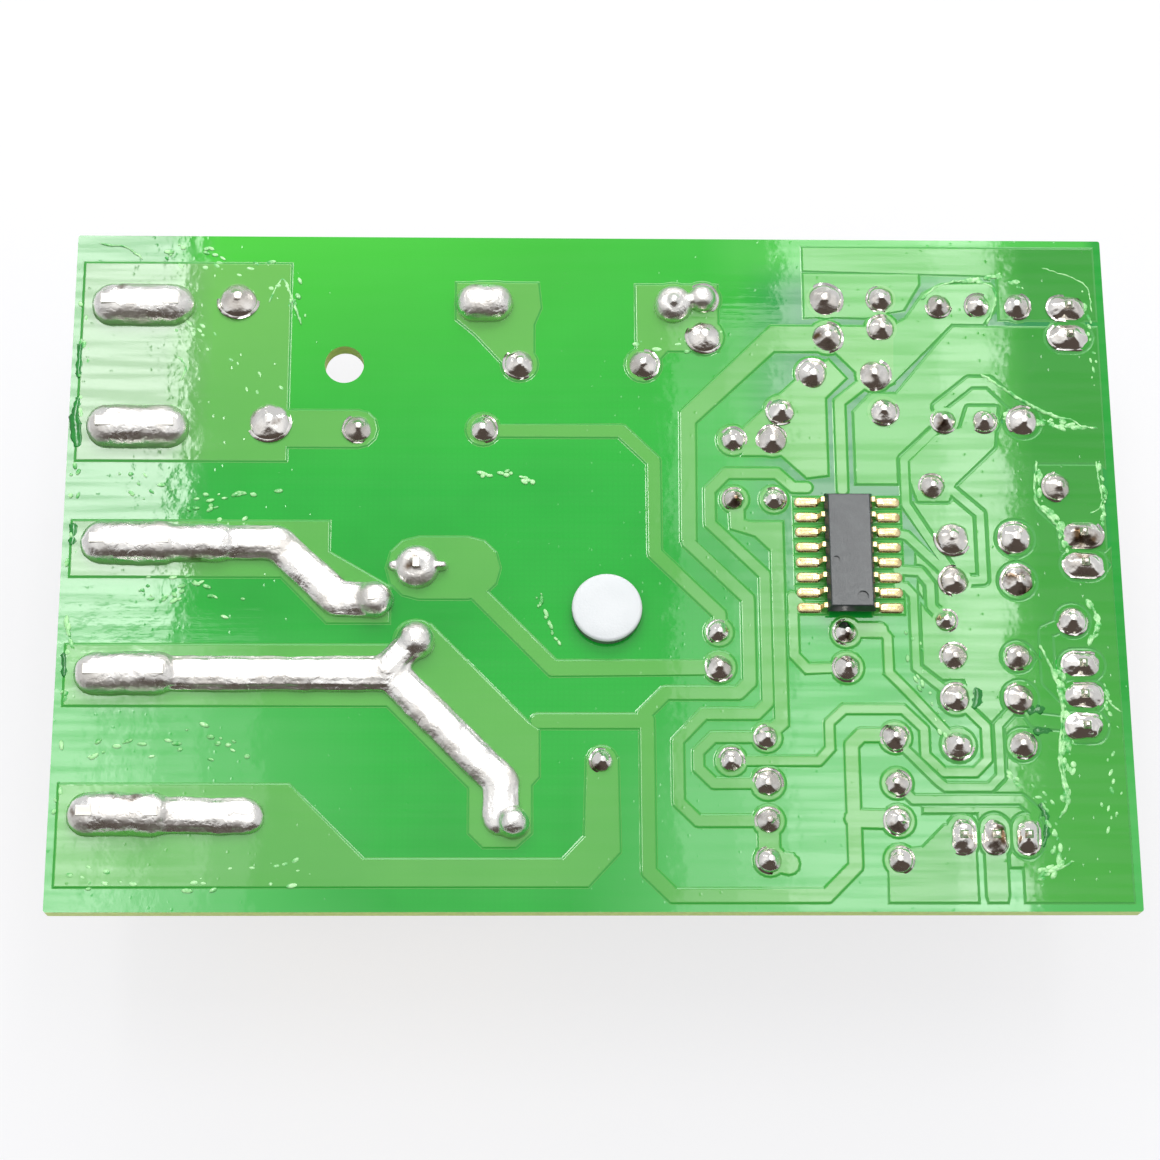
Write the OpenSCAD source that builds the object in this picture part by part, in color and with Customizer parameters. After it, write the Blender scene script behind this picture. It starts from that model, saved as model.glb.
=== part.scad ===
// Vacuum cleaner control board: a single-sided board with its solder side up.
// It lies on the tallest parts of its component side, which face down.
// Millimetres, +Z up. The origin is on the surface below, under the board's centre.
// A longer or shorter board keeps its right edge and moves its left one.

/* [Board] */
// Length of the board along X
board_l = 85; // [85:0.5:100]
// Width of the board along Y
board_w = 56.5; // [56.5:0.5:70]
// Thickness of the laminate
board_t = 1.6; // [1:0.1:2.4]
// Radius of the board's corners
corner_r = 0.2; // [0.1:0.1:2]
// Thickness of the copper with the green mask over it
copper_t = 0.07; // [0.04:0.01:0.14]
// Bare margin between the copper and the board's edge
edge_margin = 0.8; // [0.5:0.1:1.2]
// Diameter of the fixing hole
fixing_d = 3.2; // [2.5:0.1:4.2]
// Height of the tallest parts under the board
tall_h = 20; // [19.5:0.5:26]

/* [Leads and solder] */
// Diameter of the thin leads of resistors and small capacitors
lead_d = 0.6; // [0.5:0.05:0.8]
// Diameter of the thick leads of the mains parts
thick_lead_d = 0.8; // [0.7:0.05:1]
// Clearance round a lead in its hole, on the diameter
lead_gap = 0.4; // [0.2:0.05:0.6]
// How far the cut leads stand above the copper
lead_out = 1.6; // [1.5:0.1:2.2]
// Thickness of the solder coat on the bare power tracks
tin_t = 0.5; // [0.3:0.05:0.7]
// Clear gap that the copper area keeps round other tracks
pour_gap = 0.55; // [0.3:0.05:0.8]

/* [Blade terminals] */
// Width of a blade
blade_w = 6.3; // [4.8:0.1:6.8]
// Thickness of a blade
blade_t = 0.8; // [0.5:0.1:1]
// Length of a blade beyond its shoulders
blade_l = 8; // [6:0.5:10]
// Height of the shoulders that sit on the board
shoulder_h = 3.2; // [2:0.1:5]
// Spacing of the two legs of a blade
leg_pitch = 5.08; // [4.4:0.02:5.2]
// Width of a leg
leg_w = 1.2; // [0.8:0.1:1.4]

/* [Triac and heat sink] */
// Width of the heat sink along Y
sink_w = 24; // [20:0.5:25]
// Thickness of the heat sink's back plate
sink_plate = 2.4; // [2:0.1:3]
// Depth of the fins behind the plate
fin_l = 8.5; // [5:0.5:9]
// Thickness of a fin at its root
fin_t = 1.5; // [1:0.1:2]
// Number of fins on each side of the nut's channel
side_fins = 3; // [2:1:4]
// Diameter of the screw that clamps the triac
clamp_d = 3; // [2.5:0.1:3.5]
// Width of the triac's case
triac_w = 10.2; // [9.6:0.1:10.6]

/* [Capacitors] */
// Length of the mains capacitor's box
mains_l = 26.5; // [24:0.5:28]
// Thickness of the mains capacitor's box
mains_w = 7; // [5:0.5:7]
// Height of the mains capacitor's box
mains_h = 16.5; // [10:0.5:18]
// Length of the film capacitor's box
film_l = 18; // [16.5:0.5:18]
// Thickness of the film capacitor's box
film_w = 6; // [4:0.5:6]
// Height of the film capacitor's box
film_h = 12; // [8:0.5:18]
// Diameter of the smoothing capacitor's can
can_d = 8; // [6.3:0.1:8]
// Diameter of the varistor's disc
disc_d = 14; // [12:0.5:15]
// Thickness of the varistor's disc
disc_t = 4.4; // [3:0.1:6]
// Length of a small capacitor's box
box_l = 7.2; // [6.6:0.1:7.5]
// Thickness of a small capacitor's box
box_w = 2.5; // [2:0.1:2.6]
// Height of a small capacitor's box
box_h = 6.5; // [5:0.5:10]

/* [Resistors and diode] */
// Lead spacing of the resistors
axial_pitch = 10.16; // [9.8:0.02:10.4]
// Length of a resistor's body
resistor_l = 5.6; // [4:0.1:6.3]
// Diameter of a resistor's body at its end caps
resistor_d = 2.2; // [1.6:0.1:2.4]
// Bend radius of the leads
bend_r = 0.8; // [0.5:0.1:1.2]

/* [Plug headers] */
// Pin spacing of the headers
pin_pitch = 2.54; // [2.5:0.02:2.6]
// Side of a square header pin
pin_side = 0.64; // [0.5:0.02:0.7]
// Depth of a header's base
base_w = 5.4; // [4.5:0.1:5.6]
// Height of a header's base
base_h = 3.2; // [2.5:0.1:4]
// Height of a header's latch wall
latch_h = 8.2; // [6:0.1:10]
// Height of the pins under the board
pin_h = 11.2; // [10:0.1:13]

/* [Chip] */
// Length of the chip's body
chip_l = 9.9; // [9.8:0.1:10.2]
// Width of the chip's body
chip_w = 3.9; // [3.7:0.1:4]
// Spacing of the chip's leads
chip_pitch = 1.27; // [1.2:0.01:1.27]
// Span over the tips of the chip's leads
chip_span = 6; // [5.8:0.1:6.4]

/* [Post] */
// Diameter of the post's head on the solder side
post_head_d = 5.6; // [5:0.1:7]
// Height of the post's head
post_head_h = 1; // [0.6:0.1:1.6]
// Diameter of the post's neck through the board
post_neck_d = 4; // [3:0.1:4.4]

/* [Hidden] */

green = "#3fae52";
foil_green = "#62b65c";
tin = "#d9d7d2";
steel = "#c9cbcd";
$fn = 32;

board_z = tall_h;                   // component face of the board
top_z = board_z + board_t;          // solder face of the board
foil_z = top_z + copper_t;          // top of the copper
through = board_t + copper_t + lead_out;  // lead length beyond the component face
skirt = 0.1;                        // spread of the mask past the copper's edges
seat_gap = 0.3;                     // air under bodies that their leads carry
fine = 0.01;                        // overshoot of a cut past a face

// Places: the mains group keeps its distance to the left edge and moves with it. The
// right group is set out from the right edge, and the rest from the origin.
right_x = 42.5;                     // the right edge
left_x = right_x - board_l;         // the left edge
mid_x = (left_x + right_x) / 2;     // the board's middle
function L(x, y) = [left_x + x, y];
function R(x, y) = [right_x - x, y];
function ends(centre, angle, pitch) =
    [for (side = [-1, 1]) centre + side * pitch / 2 * [cos(angle), sin(angle)]];

// Blade terminals stand in a row along the left edge.
blade_x = 5.5;
blade_y = [22, 11.4, 1.5, -9.3, -20.6];
function blade_at(i) = L(blade_x, blade_y[i]);

// Axial parts: [centre, angle, lead spacing, radius of each solder joint]
resistors = [
    [[14.2, 22.8], 0, axial_pitch, 1.2, 1.3],
    [[14.3, 19.5], 0, axial_pitch, 1.3, 1.2],
    [[-0.9, 17], 0, axial_pitch, 1.15, 1.15],
    [L(28.5, 11.3), 0, axial_pitch, 1.1, 1.05],
    [R(13.8, 17.25), 90, axial_pitch, 0.95, 0.95],
    [R(10.5, 17.25), 90, axial_pitch, 0.95, 0.95],
    [R(7.3, 17.25), 90, axial_pitch, 1.15, 1.05],
    [[15, -5.8], 0, axial_pitch, 0.85, 0.95],
    [[15, -8.7], 0, axial_pitch, 1, 1],
    [[5.6, -16.3], 0, axial_pitch, 0.85, 0.95],
    [[18.6, -14.4], 0, axial_pitch, 0.9, 1],
    [[18.6, -18.1], 0, axial_pitch, 1.05, 0.95],
    [[18.6, -21.1], 0, axial_pitch, 0.95, 1],
    [[18.6, -24.2], 0, axial_pitch, 0.95, 0.95],
    [R(9.9, 6.5), 0, axial_pitch, 1, 1.1],
    [R(9.3, -4.8), 0, axial_pitch, 0.85, 1.05]
];
diode_place = [[19.6, 13], 0, 8.4, 1.1, 1.1];

// Small box capacitors: [centre, angle, lead spacing, radius of each solder joint]
box_pitch = 5.08;
boxes = [
    [[20.6, 16.2], 0, box_pitch, 1.2, 1.2],
    [[14.6, 7.9], 90, box_pitch, 0.85, 1.1],
    [[11.4, 7.9], 90, box_pitch, 0.85, 1],
    [R(11, 2.1), 0, box_pitch, 1.25, 1.2],
    [R(11, -1.5), 0, box_pitch, 1.15, 1.2],
    [R(11.3, -7.8), 0, box_pitch, 1.05, 0.95],
    [R(11.3, -11.2), 0, box_pitch, 1.1, 1.1],
    [R(11.3, -15), 0, box_pitch, 1.1, 1]
];

// Plug headers: [centre, angle of the pin row, pins]
headers = [
    [R(3.1, 20.9), 90, 2],
    [R(3, 1.2), 90, 2],
    [R(3.7, -11), 90, 3],
    [R(11.3, -22.3), 0, 3]
];
function header_pin_at(h) = [for (i = [0:h[2] - 1])
    h[0] + (i - (h[2] - 1) / 2) * pin_pitch * [cos(h[1]), sin(h[1])]];

// Mains parts
mains_pitch = 22.5;
mains_at = L(24.8, -20.9);
film_pitch = 15.2;
film_at = [-0.9, 22.3];
disc_pitch = 11;
disc_at = L(14.8, 17.2);
disc_angle = -75;
can_pitch = 2.6;
can_at = [23.9, 21.6];
fixing_at = L(22.2, 16.9);
post_at = [1, -4];
chip_at = [20.5, 0.65];

// Triac: the outer leads are splayed and the middle one is bent forward.
triac_at = L(26.6, -3.5);
triac_foot = [[1.7, 3.05], [-1.8, 0.3], [1.7, -3.05]];
triac_drill = 1.3;
tab_back = 2.75;                    // from the lead plane to the tab's back
function triac_pin(i) = triac_at + triac_foot[i];

// Solder joints: [place, radius, half length, angle, lead size, square lead?]
function pair_joints(list) = [for (p = list) for (i = [0, 1])
    [ends(p[0], p[1], p[2])[i], p[3 + i], 0, 0, lead_d, false]];
function header_joints(h, r, half) = [for (p = header_pin_at(h))
    [p, r, half, h[1] + 90, pin_side, true]];
left_joints = concat([pair_joints(resistors)[6]],
    [for (p = ends(disc_at, disc_angle, disc_pitch)) [p, 1.5, 0, 0, thick_lead_d, false]]);
single_joints = concat(
    [for (i = [0, 1]) [ends(can_at, 90, can_pitch)[i], 1.05, 0, 0, lead_d, false]],
    [[ends(film_at, 0, film_pitch)[0], 1.65, 0.75, 0, thick_lead_d, false]],
    [[ends(film_at, 0, film_pitch)[1], 1.6, 0, 0, thick_lead_d, false]]);
other_joints = [for (j = concat(pair_joints(resistors), pair_joints([diode_place]),
    pair_joints(boxes), header_joints(headers[0], 1.05, 0.55),
    header_joints(headers[1], 1, 0.55), header_joints(headers[2], 0.95, 0.55),
    header_joints(headers[3], 0.9, 0.55), single_joints)) if (j != left_joints[0]) j];
middle_joints = [for (j = other_joints) if (j[0][0] <= right_x - 17.5) j];
right_joints = [for (j = other_joints) if (j[0][0] > right_x - 17.5) j];
triac_joint_r = [1.8, 1.2, 1.5];

// Height of a solder dome over its radius, and its shape
rise_base = 0.5;
rise_rate = 0.5;
dome_power = 1.7;
function rise(r) = rise_base + rise_rate * r;
function dome_z(r, x) = rise(r) * pow(1 - pow(x / r, dome_power), 1 / dome_power);
function dome_outline(r, from) = concat([[from, 0], [r, 0]],
    [for (x = [0.96, 0.85, 0.65, 0.42]) [x * r, dome_z(r, x * r)]],
    [[from, dome_z(r, from)]]);
function dome_flank(r) = [for (x = [1, 0.96, 0.85, 0.65, 0.42]) [x * r, dome_z(r, x * r)]];
function dome_section(r) = concat(dome_flank(r), [[0, dome_z(r, 0)]],
    [for (i = [4:-1:0]) [-dome_flank(r)[i][0], dome_flank(r)[i][1]]]);

// ---------- shared shapes ----------

// Puts a part on the component face, its own +Z pointing down from the board
module hang(p, angle = 0) {
    translate([p[0], p[1], board_z]) rotate(angle) mirror([0, 0, 1]) children();
}

// A flat track of one width through a list of points
module track(points, w) {
    inner = w - 2 * skirt;
    for (i = [0:len(points) - 2]) {
        step = points[i + 1] - points[i];
        translate(points[i]) rotate(atan2(step[1], step[0]))
            translate([0, -inner / 2]) square([norm(step), inner]);
    }
    for (p = points) translate(p) circle(d = inner, $fn = 12);
}

// Copper under one solder joint
module pad(j, grow = 0.25) {
    for (side = [-1, 1]) translate(j[0] + side * j[2] * [cos(j[3]), sin(j[3])])
        circle(r = j[1] + grow - skirt, $fn = 20);
    if (j[2] > 0) track([j[0] - j[2] * [cos(j[3]), sin(j[3])],
        j[0] + j[2] * [cos(j[3]), sin(j[3])]], 2 * (j[1] + grow));
}

// Solder dome, or a dome drawn out along a line with a half dome at each end
module dome(j) {
    solid = j[5] || j[2] > 0;
    lead = j[4];
    translate([j[0][0], j[0][1], foil_z]) rotate(j[3]) difference() {
        if (j[2] > 0) {
            for (side = [0, 180]) rotate(side) translate([j[2], 0, 0]) rotate(-90)
                rotate_extrude(angle = 180) polygon(dome_outline(j[1], 0));
            translate([-j[2], 0, 0]) rotate([90, 0, 90]) linear_extrude(2 * j[2])
                polygon(dome_section(j[1]));
        } else rotate_extrude() polygon(dome_outline(j[1], solid ? 0 : lead / 2));
        if (j[5]) translate([-lead / 2, -lead / 2, -fine]) cube([lead, lead, 2 * lead_out]);
        else if (solid && lead > 0)
            translate([0, 0, -fine]) cylinder(d = lead, h = 2 * lead_out);
    }
}

module drills() {
    for (j = concat(left_joints, other_joints))
        translate(j[0]) circle(d = j[4] * (j[5] ? sqrt(2) : 1) + lead_gap);
    for (i = [0:4], side = [-1, 1]) translate(blade_at(i) + [side * leg_pitch / 2, 0])
        circle(d = norm([leg_w, blade_t]) + lead_gap / 2);
    for (i = [0:2]) translate(triac_pin(i)) circle(d = triac_drill);
    for (p = ends(mains_at, 0, mains_pitch)) translate(p)
        circle(d = thick_lead_d + lead_gap);
    translate(fixing_at) circle(d = fixing_d);
    translate(post_at) circle(d = post_neck_d + 0.1);
}

// ---------- board and copper ----------

module laminate() {
    color(green) translate([0, 0, board_z]) linear_extrude(board_t) difference() {
        translate([mid_x, 0]) {
            square([board_l - 2 * corner_r, board_w], center = true);
            square([board_l, board_w - 2 * corner_r], center = true);
            for (x = [-1, 1], y = [-1, 1])
                translate([x * (board_l / 2 - corner_r), y * (board_w / 2 - corner_r)])
                    circle(corner_r);
        }
        drills();
    }
}

module foil() {
    color(foil_green) translate([0, 0, top_z]) linear_extrude(copper_t)
        offset(delta = skirt) difference() {
            intersection() {
                children();
                translate([mid_x, 0]) square([board_l - 2 * (edge_margin + skirt),
                    board_w - 2 * (edge_margin + skirt)], center = true);
            }
            offset(delta = skirt) drills($fn = 12);
            translate(post_at) circle(d = post_head_d + 2 * skirt);
        }
}

// Wide mains copper of the left group
module power_shapes() {
    polygon([L(0, 8.7), L(17.5, 8.7), L(17.5, 25.6), L(0, 25.6)]);
    track([L(16, 11.3), ends(resistors[3][0], 0, axial_pitch)[0]], 3);
    polygon([L(0, 3.2), L(21.1, 3.2), L(21.1, 0.7), L(26, -2.2), L(26, -4.9),
        L(21.3, -4.9), L(17.6, -1.1), L(0, -1.1)]);
    polygon([L(0, -7.1), L(26.6, -7.1), L(27.4, -5.4), L(29.4, -5.4), L(37.2, -13.4),
        L(37.9, -13.9), L(37.9, -17.5), L(37.3, -18.2), L(37.3, -22), L(36.2, -23),
        L(33.8, -23), L(32.8, -22), L(32.8, -18.4), L(26.2, -11.7), L(0, -11.7)]);
    polygon([L(0, -18.4), L(18.5, -18.4), L(24.4, -24.3), [-2.5, -24.3], [-0.7, -22.4],
        [-0.5, -16.3], [1.6, -16.3], [1.7, -23.5], [-0.7, -26.1], L(0, -26.1)]);
    track([L(28.5, -0.5), L(32.4, -0.5)], 5);
    track([L(33.2, -2.6), L(39.2, -8.8), ends(resistors[8][0], 0, axial_pitch)[0]], 1.1);
    track([L(38, -13.1), [3.6, -13.1]], 1);
}

// Nets of the middle of the board
module middle_shapes() {
    polygon([[-11, 24], [-4.6, 24], [-4.4, 22], [-5, 20.5], [-5, 17], [-7.1, 17],
        [-9.5, 19.7], [-11, 21]]);
    polygon([[3.8, 23.9], [10.2, 23.9], [10.2, 18.4], [6.1, 18.4], [5.2, 17.4],
        [4.6, 16.2], [3.6, 16.2], [3.8, 18]]);
    track([L(33.6, 11.2), [2.3, 11.2], [4.9, 8.6], [4.9, 0.8], [10, -4.3], [10, -5.8]], 0.9);
    polygon([[14.8, 20.3], [7.3, 12.8], [7.2, 2], [8.1, 2], [8.2, 12], [14.9, 18.4],
        [20, 18.4], [21.9, 16.4], [22, 15.5], [23.2, 14.9], [24.6, 15.6], [24.8, 20.3]]);
    track([[7.65, 2.4], [7.65, 1.7], [12.3, -3], [12.3, -9.9], [11.4, -10.8], [5.6, -10.8],
        [3.8, -12.6]], 0.9);
    track([[4.1, -13], [4.1, -25.1], [6, -27], [17.9, -27], [20.2, -24.7], [20.2, -15],
        [21, -14.2], [23.6, -14.2]], 0.95);
    track([[17.3, 6.4], [16.2, 6.4], [14.9, 7.6], [10.8, 7.6], [9.4, 6.1], [9.4, 3.3],
        [13.7, -1], [13.7, -11.6], [12.8, -12.5], [8.6, -12.5], [6.5, -14.7],
        [6.5, -19.6], [8, -21.1], [13.5, -21.1]], 0.75);
    polygon([[12, 5.2], [12, 3.5], [12.6, 3.3], [15.1, 3.3], [15.1, -13.4], [13.6, -14.8],
        [13.2, -14], [14.4, -13], [14.4, 1.1], [13.1, 2.4], [11.2, 3], [11.1, 5.2]]);
    track([[16.8, -3.8], [15.9, -2.8], [15.9, -7.7], [16.9, -8.8], [20, -8.7]], 0.65);
    track([[13.5, -14.4], [9.3, -14.4], [8.1, -15.6], [8.1, -16.9], [9.3, -18.1],
        [13.5, -18.1]], 0.7);
    track([[10.7, -16.3], [17.6, -16.3], [18.5, -15.3], [18.5, -13.2], [19.7, -12.1],
        [24.4, -12.1], [26, -13.7], [26, -15.8], [27.4, -17.2], [29.9, -17.2],
        [30.9, -16.2], [30.9, -13.5], ends(boxes[6][0], 0, box_pitch)[0]], 0.6);
    track([[13.5, -21.1], [13.5, -24.2], [15, -24.5]], 1.5);
    polygon([[12.3, 11.3], [17.2, 16], [19.4, 17.3], [20.6, 15.9], [18.9, 14.2],
        [18.9, 7.6], [17.4, 7.4], [15.4, 9.3], [12.3, 9.3]]);
    track([[20.2, 6.2], [20.2, 13.8], [22.4, 15.6]], 0.75);
    track([[20.2, -20.9], [23.6, -21]], 1.3);
    track([[20, -5.7], [23, -5.7], [23.4, -6.2], [23.4, -9.1], [24.9, -10.7],
        ends(boxes[7][0], 0, box_pitch)[0]], 0.6);
    track([[20.5, -5.6], [22.8, -5.6]], 1.1);
}

// Nets between the chip and the right group
module right_shapes() {
    polygon([[24.7, 20.3], [26.1, 21.1], R(14.9, 23.3), R(13.4, 24.1), R(9.5, 24.2),
        R(8.9, 23.5), R(9.3, 22), R(10.2, 20.9), R(12.8, 20.9), [24.6, 15.6]]);
    polygon([[17.7, 21.4], [22.6, 21.4], [25.7, 22.1], [27, 24.3], [27, 25], [17.7, 25]]);
    polygon([R(8.6, 21.3), R(0, 21.3), R(0, 28), [17.7, 28], [17.7, 25.6], R(8.6, 25.2)]);
    polygon([R(11.7, 13.3), R(9.5, 13.3), R(9.9, 10), R(13.2, 6.8), R(13.8, 5.4),
        R(16.1, 5.4), R(16.6, 7), R(16.6, 8.6), R(14.5, 10.8), R(12.3, 11.5)]);
    track([R(13.8, 12.2), R(14.6, 11.3), R(17.2, 8.8), R(17.2, 5), R(13.6, -1)], 0.6);
    track([R(13.8, 12.2), R(14.2, 13.4), R(11.5, 15.6), R(9.9, 15.6), R(7.3, 12.9)], 0.7);
    track([R(15, 6.5), R(13.4, 6.2), R(11.2, 4.2), R(11.2, -1.4), R(13.5, -1.5)], 0.6);
    track([[24.6, 2.5], [25.3, 2.3], R(14.9, 0), R(13.5, -1.5)], 0.6);
    track([[24.4, -0.6], [26.2, -0.7], R(15.5, -1.8), R(15.5, -3.6), R(14.4, -4.8)], 0.6);
    track([[24.4, -1.9], [25, -2], [25.6, -2.7], [25.6, -8.7], R(13.9, -11.2)], 0.55);
    track([[23.7, -14.4], [24.5, -15.4], [26.9, -17.9], [27.5, -18.4], [31, -18.4],
        R(10.6, -17.5), R(10.6, -13.4), R(8.7, -11.4)], 0.55);
    track([[23.6, -18.1], [24.9, -19.4], R(9.1, -19.4), R(8, -20.4), R(8.7, -22)], 0.6);
    polygon([[22.9, -28], R(13, -28), R(13, -21.6), R(15.2, -21.6), R(17, -23.4),
        [22.9, -23.4]]);
    track([R(11.3, -22.3), R(11.3, -27)], 1.6);
    polygon([R(6.3, 8.2), R(1.3, 8.2), R(1.3, 1.3), R(4.6, 1.3), R(4.6, 3), R(6.3, 4.7)]);
    track([R(4.3, -4.8), R(6.4, -5.7), R(6.4, -9.8), R(5.3, -11)], 0.8);
    track([R(8.7, -11.3), R(7.6, -13), R(4.2, -13.4)], 0.9);
}

// The large area that fills the right of the board round the other nets
module pour_shape() {
    difference() {
        polygon([[21.5, 6.9], [21.5, 12.9], [22.9, 14.4], [25, 14.4], R(12.7, 20.3),
            R(0, 20.3), R(0, -28), R(9, -28), R(9, -24.6), R(12.4, -24.6),
            R(12.4, -20.3), [25.8, -20.3], [25.8, -18.9], [31.6, -18.9], R(10, -17.5),
            R(10, -13), R(12, -13), R(13, -9.5), R(16.3, -9.5), [26.2, -2.5], [25.9, 4.8],
            [24.8, 6.9]]);
        offset(r = pour_gap, $fn = 12) {
            middle_shapes();
            right_shapes();
            for (j = right_joints) if (j[0][0] > right_x - 12) pad(j);
        }
    }
}

module chip_pads() {
    for (side = [-1, 1], i = [0:7])
        translate(chip_at + [side * chip_pad_x, (i - 3.5) * chip_pitch])
            square([chip_pad_l - 2 * skirt, chip_pad_w - 2 * skirt], center = true);
}

module copper_power() {
    foil() {
        power_shapes();
        for (j = left_joints) pad(j);
        for (i = [0:2]) translate(triac_pin(i)) circle(r = triac_joint_r[i]);
    }
}

module copper_middle() {
    foil() difference() {
        union() {
            middle_shapes();
            chip_pads();
            for (j = middle_joints) pad(j);
        }
        offset(delta = 2 * skirt) {
            power_shapes();
            for (j = left_joints) pad(j);
        }
    }
}

module copper_right() {
    foil() difference() {
        union() {
            right_shapes();
            pour_shape();
            for (j = right_joints) pad(j);
        }
        offset(delta = 2 * skirt) {
            middle_shapes();
            chip_pads();
            for (j = middle_joints) pad(j);
        }
    }
}

// ---------- solder ----------

// Bare power tracks, coated with solder from the blades on
module tin_shapes() {
    track([L(blade_x, blade_y[2]), L(17.2, 1.5), L(22, -3.1), triac_pin(1)], 2.9);
    track([L(blade_x, blade_y[3]), L(26.4, -9.3), L(35.1, -18), L(35.1, -20.9)], 2.9);
    track([L(26, -9), triac_pin(2)], 2.4);
    track([L(blade_x, blade_y[4]), ends(mains_at, 0, mains_pitch)[0], L(15.3, -20.8)], 2.9);
}

module power_solder() {
    blade_joint_r = 1.75;
    mains_joint_r = 1.45;
    color(tin) difference() {
        union() {
            for (i = [0:4]) dome([blade_at(i), blade_joint_r, leg_pitch / 2, 0, 0, false]);
            for (i = [0:2]) dome([triac_pin(i), triac_joint_r[i], 0, 0, 0, false]);
            for (p = ends(mains_at, 0, mains_pitch)) dome([p, mains_joint_r, 0, 0, 0, false]);
            translate([0, 0, foil_z]) linear_extrude(tin_t)
                offset(delta = skirt) tin_shapes();
        }
        for (i = [0:4]) blade(i);
        for (i = [0:2]) triac_lead(i);
        for (p = ends(mains_at, 0, mains_pitch)) translate([p[0], p[1], top_z])
            cylinder(d = thick_lead_d, h = 3 * lead_out);
    }
}

module solder_left() {
    color(tin) for (j = left_joints) dome(j);
}

module solder_middle() {
    color(tin) for (j = middle_joints) dome(j);
}

module solder_right() {
    color(tin) for (j = right_joints) dome(j);
}

// ---------- chip ----------

chip_foot_l = 0.7;
chip_foot_t = 0.2;
chip_lead_w = 0.42;
chip_pad_l = 2.3;
chip_pad_w = 0.8;
chip_pad_x = chip_span / 2 - chip_foot_l + chip_pad_l / 2 - 0.35;
chip_film = 0.05;                   // solder under a foot
chip_lift = 0.15;                   // air under the body
chip_h = 1.45;
chip_root = 0.3;                    // how far a lead goes into the body
chip_mid = 0.72;                    // height of the leads' exit over the body's base
chip_draft = 0.12;                  // how far the sides lean in above and below it

module chip_side(w) {
    polygon([[-w / 2 + chip_draft, 0], [w / 2 - chip_draft, 0], [w / 2, chip_mid],
        [w / 2 - chip_draft, chip_h], [-w / 2 + chip_draft, chip_h], [-w / 2, chip_mid]]);
}

module chip_body() {
    dot_d = 0.9;
    color("#7d8083") translate([chip_at[0], chip_at[1], foil_z + chip_lift])
        difference() {
            intersection() {
                rotate([90, 0, 0]) linear_extrude(chip_l, center = true) chip_side(chip_w);
                rotate([90, 0, 90]) linear_extrude(chip_w, center = true) chip_side(chip_l);
            }
            translate([chip_w / 2 - 1.05, -chip_l / 2 + 1.2, chip_h - 0.1])
                cylinder(d = dot_d, h = 1);
            for (side = [-1, 1], i = [0:7])
                translate([side * chip_w / 2, (i - 3.5) * chip_pitch, chip_mid])
                    cube([2 * chip_root, chip_lead_w, chip_foot_t], center = true);
        }
}

// One gull-wing lead, from the body's side to its foot
module gull_wing() {
    tip = chip_span / 2;
    knee = chip_mid - chip_foot_t / 2 + chip_lift;
    heel = tip - chip_foot_l;
    wall = chip_w / 2;
    root = wall - chip_root;
    low = chip_film;
    rotate([90, 0, 0]) linear_extrude(chip_lead_w, center = true) polygon([
        [root, knee], [wall + 0.12, knee], [heel, low], [tip, low],
        [tip, low + chip_foot_t], [heel + 0.12, low + chip_foot_t],
        [wall + 0.25, knee + chip_foot_t], [root, knee + chip_foot_t]]);
}

module chip_leads() {
    color(steel) for (side = [0, 180], i = [0:7])
        translate([chip_at[0], chip_at[1] + (i - 3.5) * chip_pitch, foil_z])
            rotate(side) gull_wing();
}

module chip_solder() {
    tip = chip_span / 2;
    near = chip_pad_x - chip_pad_l / 2 + 0.1;
    far = chip_pad_x + chip_pad_l / 2 - 0.1;
    color(tin) for (side = [0, 180], i = [0:7])
        translate([chip_at[0], chip_at[1] + (i - 3.5) * chip_pitch, foil_z])
            rotate(side) rotate([90, 0, 0]) linear_extrude(chip_pad_w - 0.2, center = true)
                polygon([[near, 0], [far, 0], [far, 0.06], [tip + 0.25, 0.3], [tip, 0.34],
                    [tip, chip_film], [near, chip_film]]);
}

// ---------- post, terminals ----------

// Nylon post: head on the solder side, neck through the board, leg down to the surface
module support_post() {
    leg_r = 2.7;
    flange_r = 3.6;
    flange_h = 1;
    foot_r = 2.2;
    color("#f5f7f7") translate([post_at[0], post_at[1], 0]) rotate_extrude() polygon([
        [0, 0], [foot_r, 0], [leg_r, 0.6], [leg_r, board_z - flange_h],
        [flange_r, board_z - flange_h + 0.2], [flange_r, board_z],
        [post_neck_d / 2, board_z], [post_neck_d / 2, top_z], [post_head_d / 2, top_z],
        [post_head_d / 2, top_z + post_head_h - 0.15],
        [post_head_d / 2 - 0.15, top_z + post_head_h], [0, top_z + post_head_h]]);
}

module blade(i) {
    tip = shoulder_h + blade_l;
    bevel = 1.1;
    shoulder_w = leg_pitch + leg_w;
    detent_d = 1.7;
    hang(blade_at(i)) rotate([90, 0, 0]) linear_extrude(blade_t, center = true)
        difference() {
            union() {
                for (side = [-1, 1]) translate([side * leg_pitch / 2 - leg_w / 2, -through])
                    square([leg_w, through + 1]);
                translate([-max(shoulder_w, blade_w) / 2, 0])
                    square([max(shoulder_w, blade_w), shoulder_h]);
                polygon([[-blade_w / 2, shoulder_h - 1], [blade_w / 2, shoulder_h - 1],
                    [blade_w / 2, tip - bevel], [blade_w / 2 - bevel, tip],
                    [-blade_w / 2 + bevel, tip], [-blade_w / 2, tip - bevel]]);
            }
            translate([0, tip - blade_l / 2]) circle(d = detent_d);
            translate([-1.1, -1]) square([2.2, 2.2]);
        }
}

module blade_terminal(i) { color(steel) blade(i); }
module blade_terminal_1() { blade_terminal(0); }
module blade_terminal_2() { blade_terminal(1); }
module blade_terminal_3() { blade_terminal(2); }
module blade_terminal_4() { blade_terminal(3); }
module blade_terminal_5() { blade_terminal(4); }

// ---------- triac on its heat sink ----------

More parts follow.
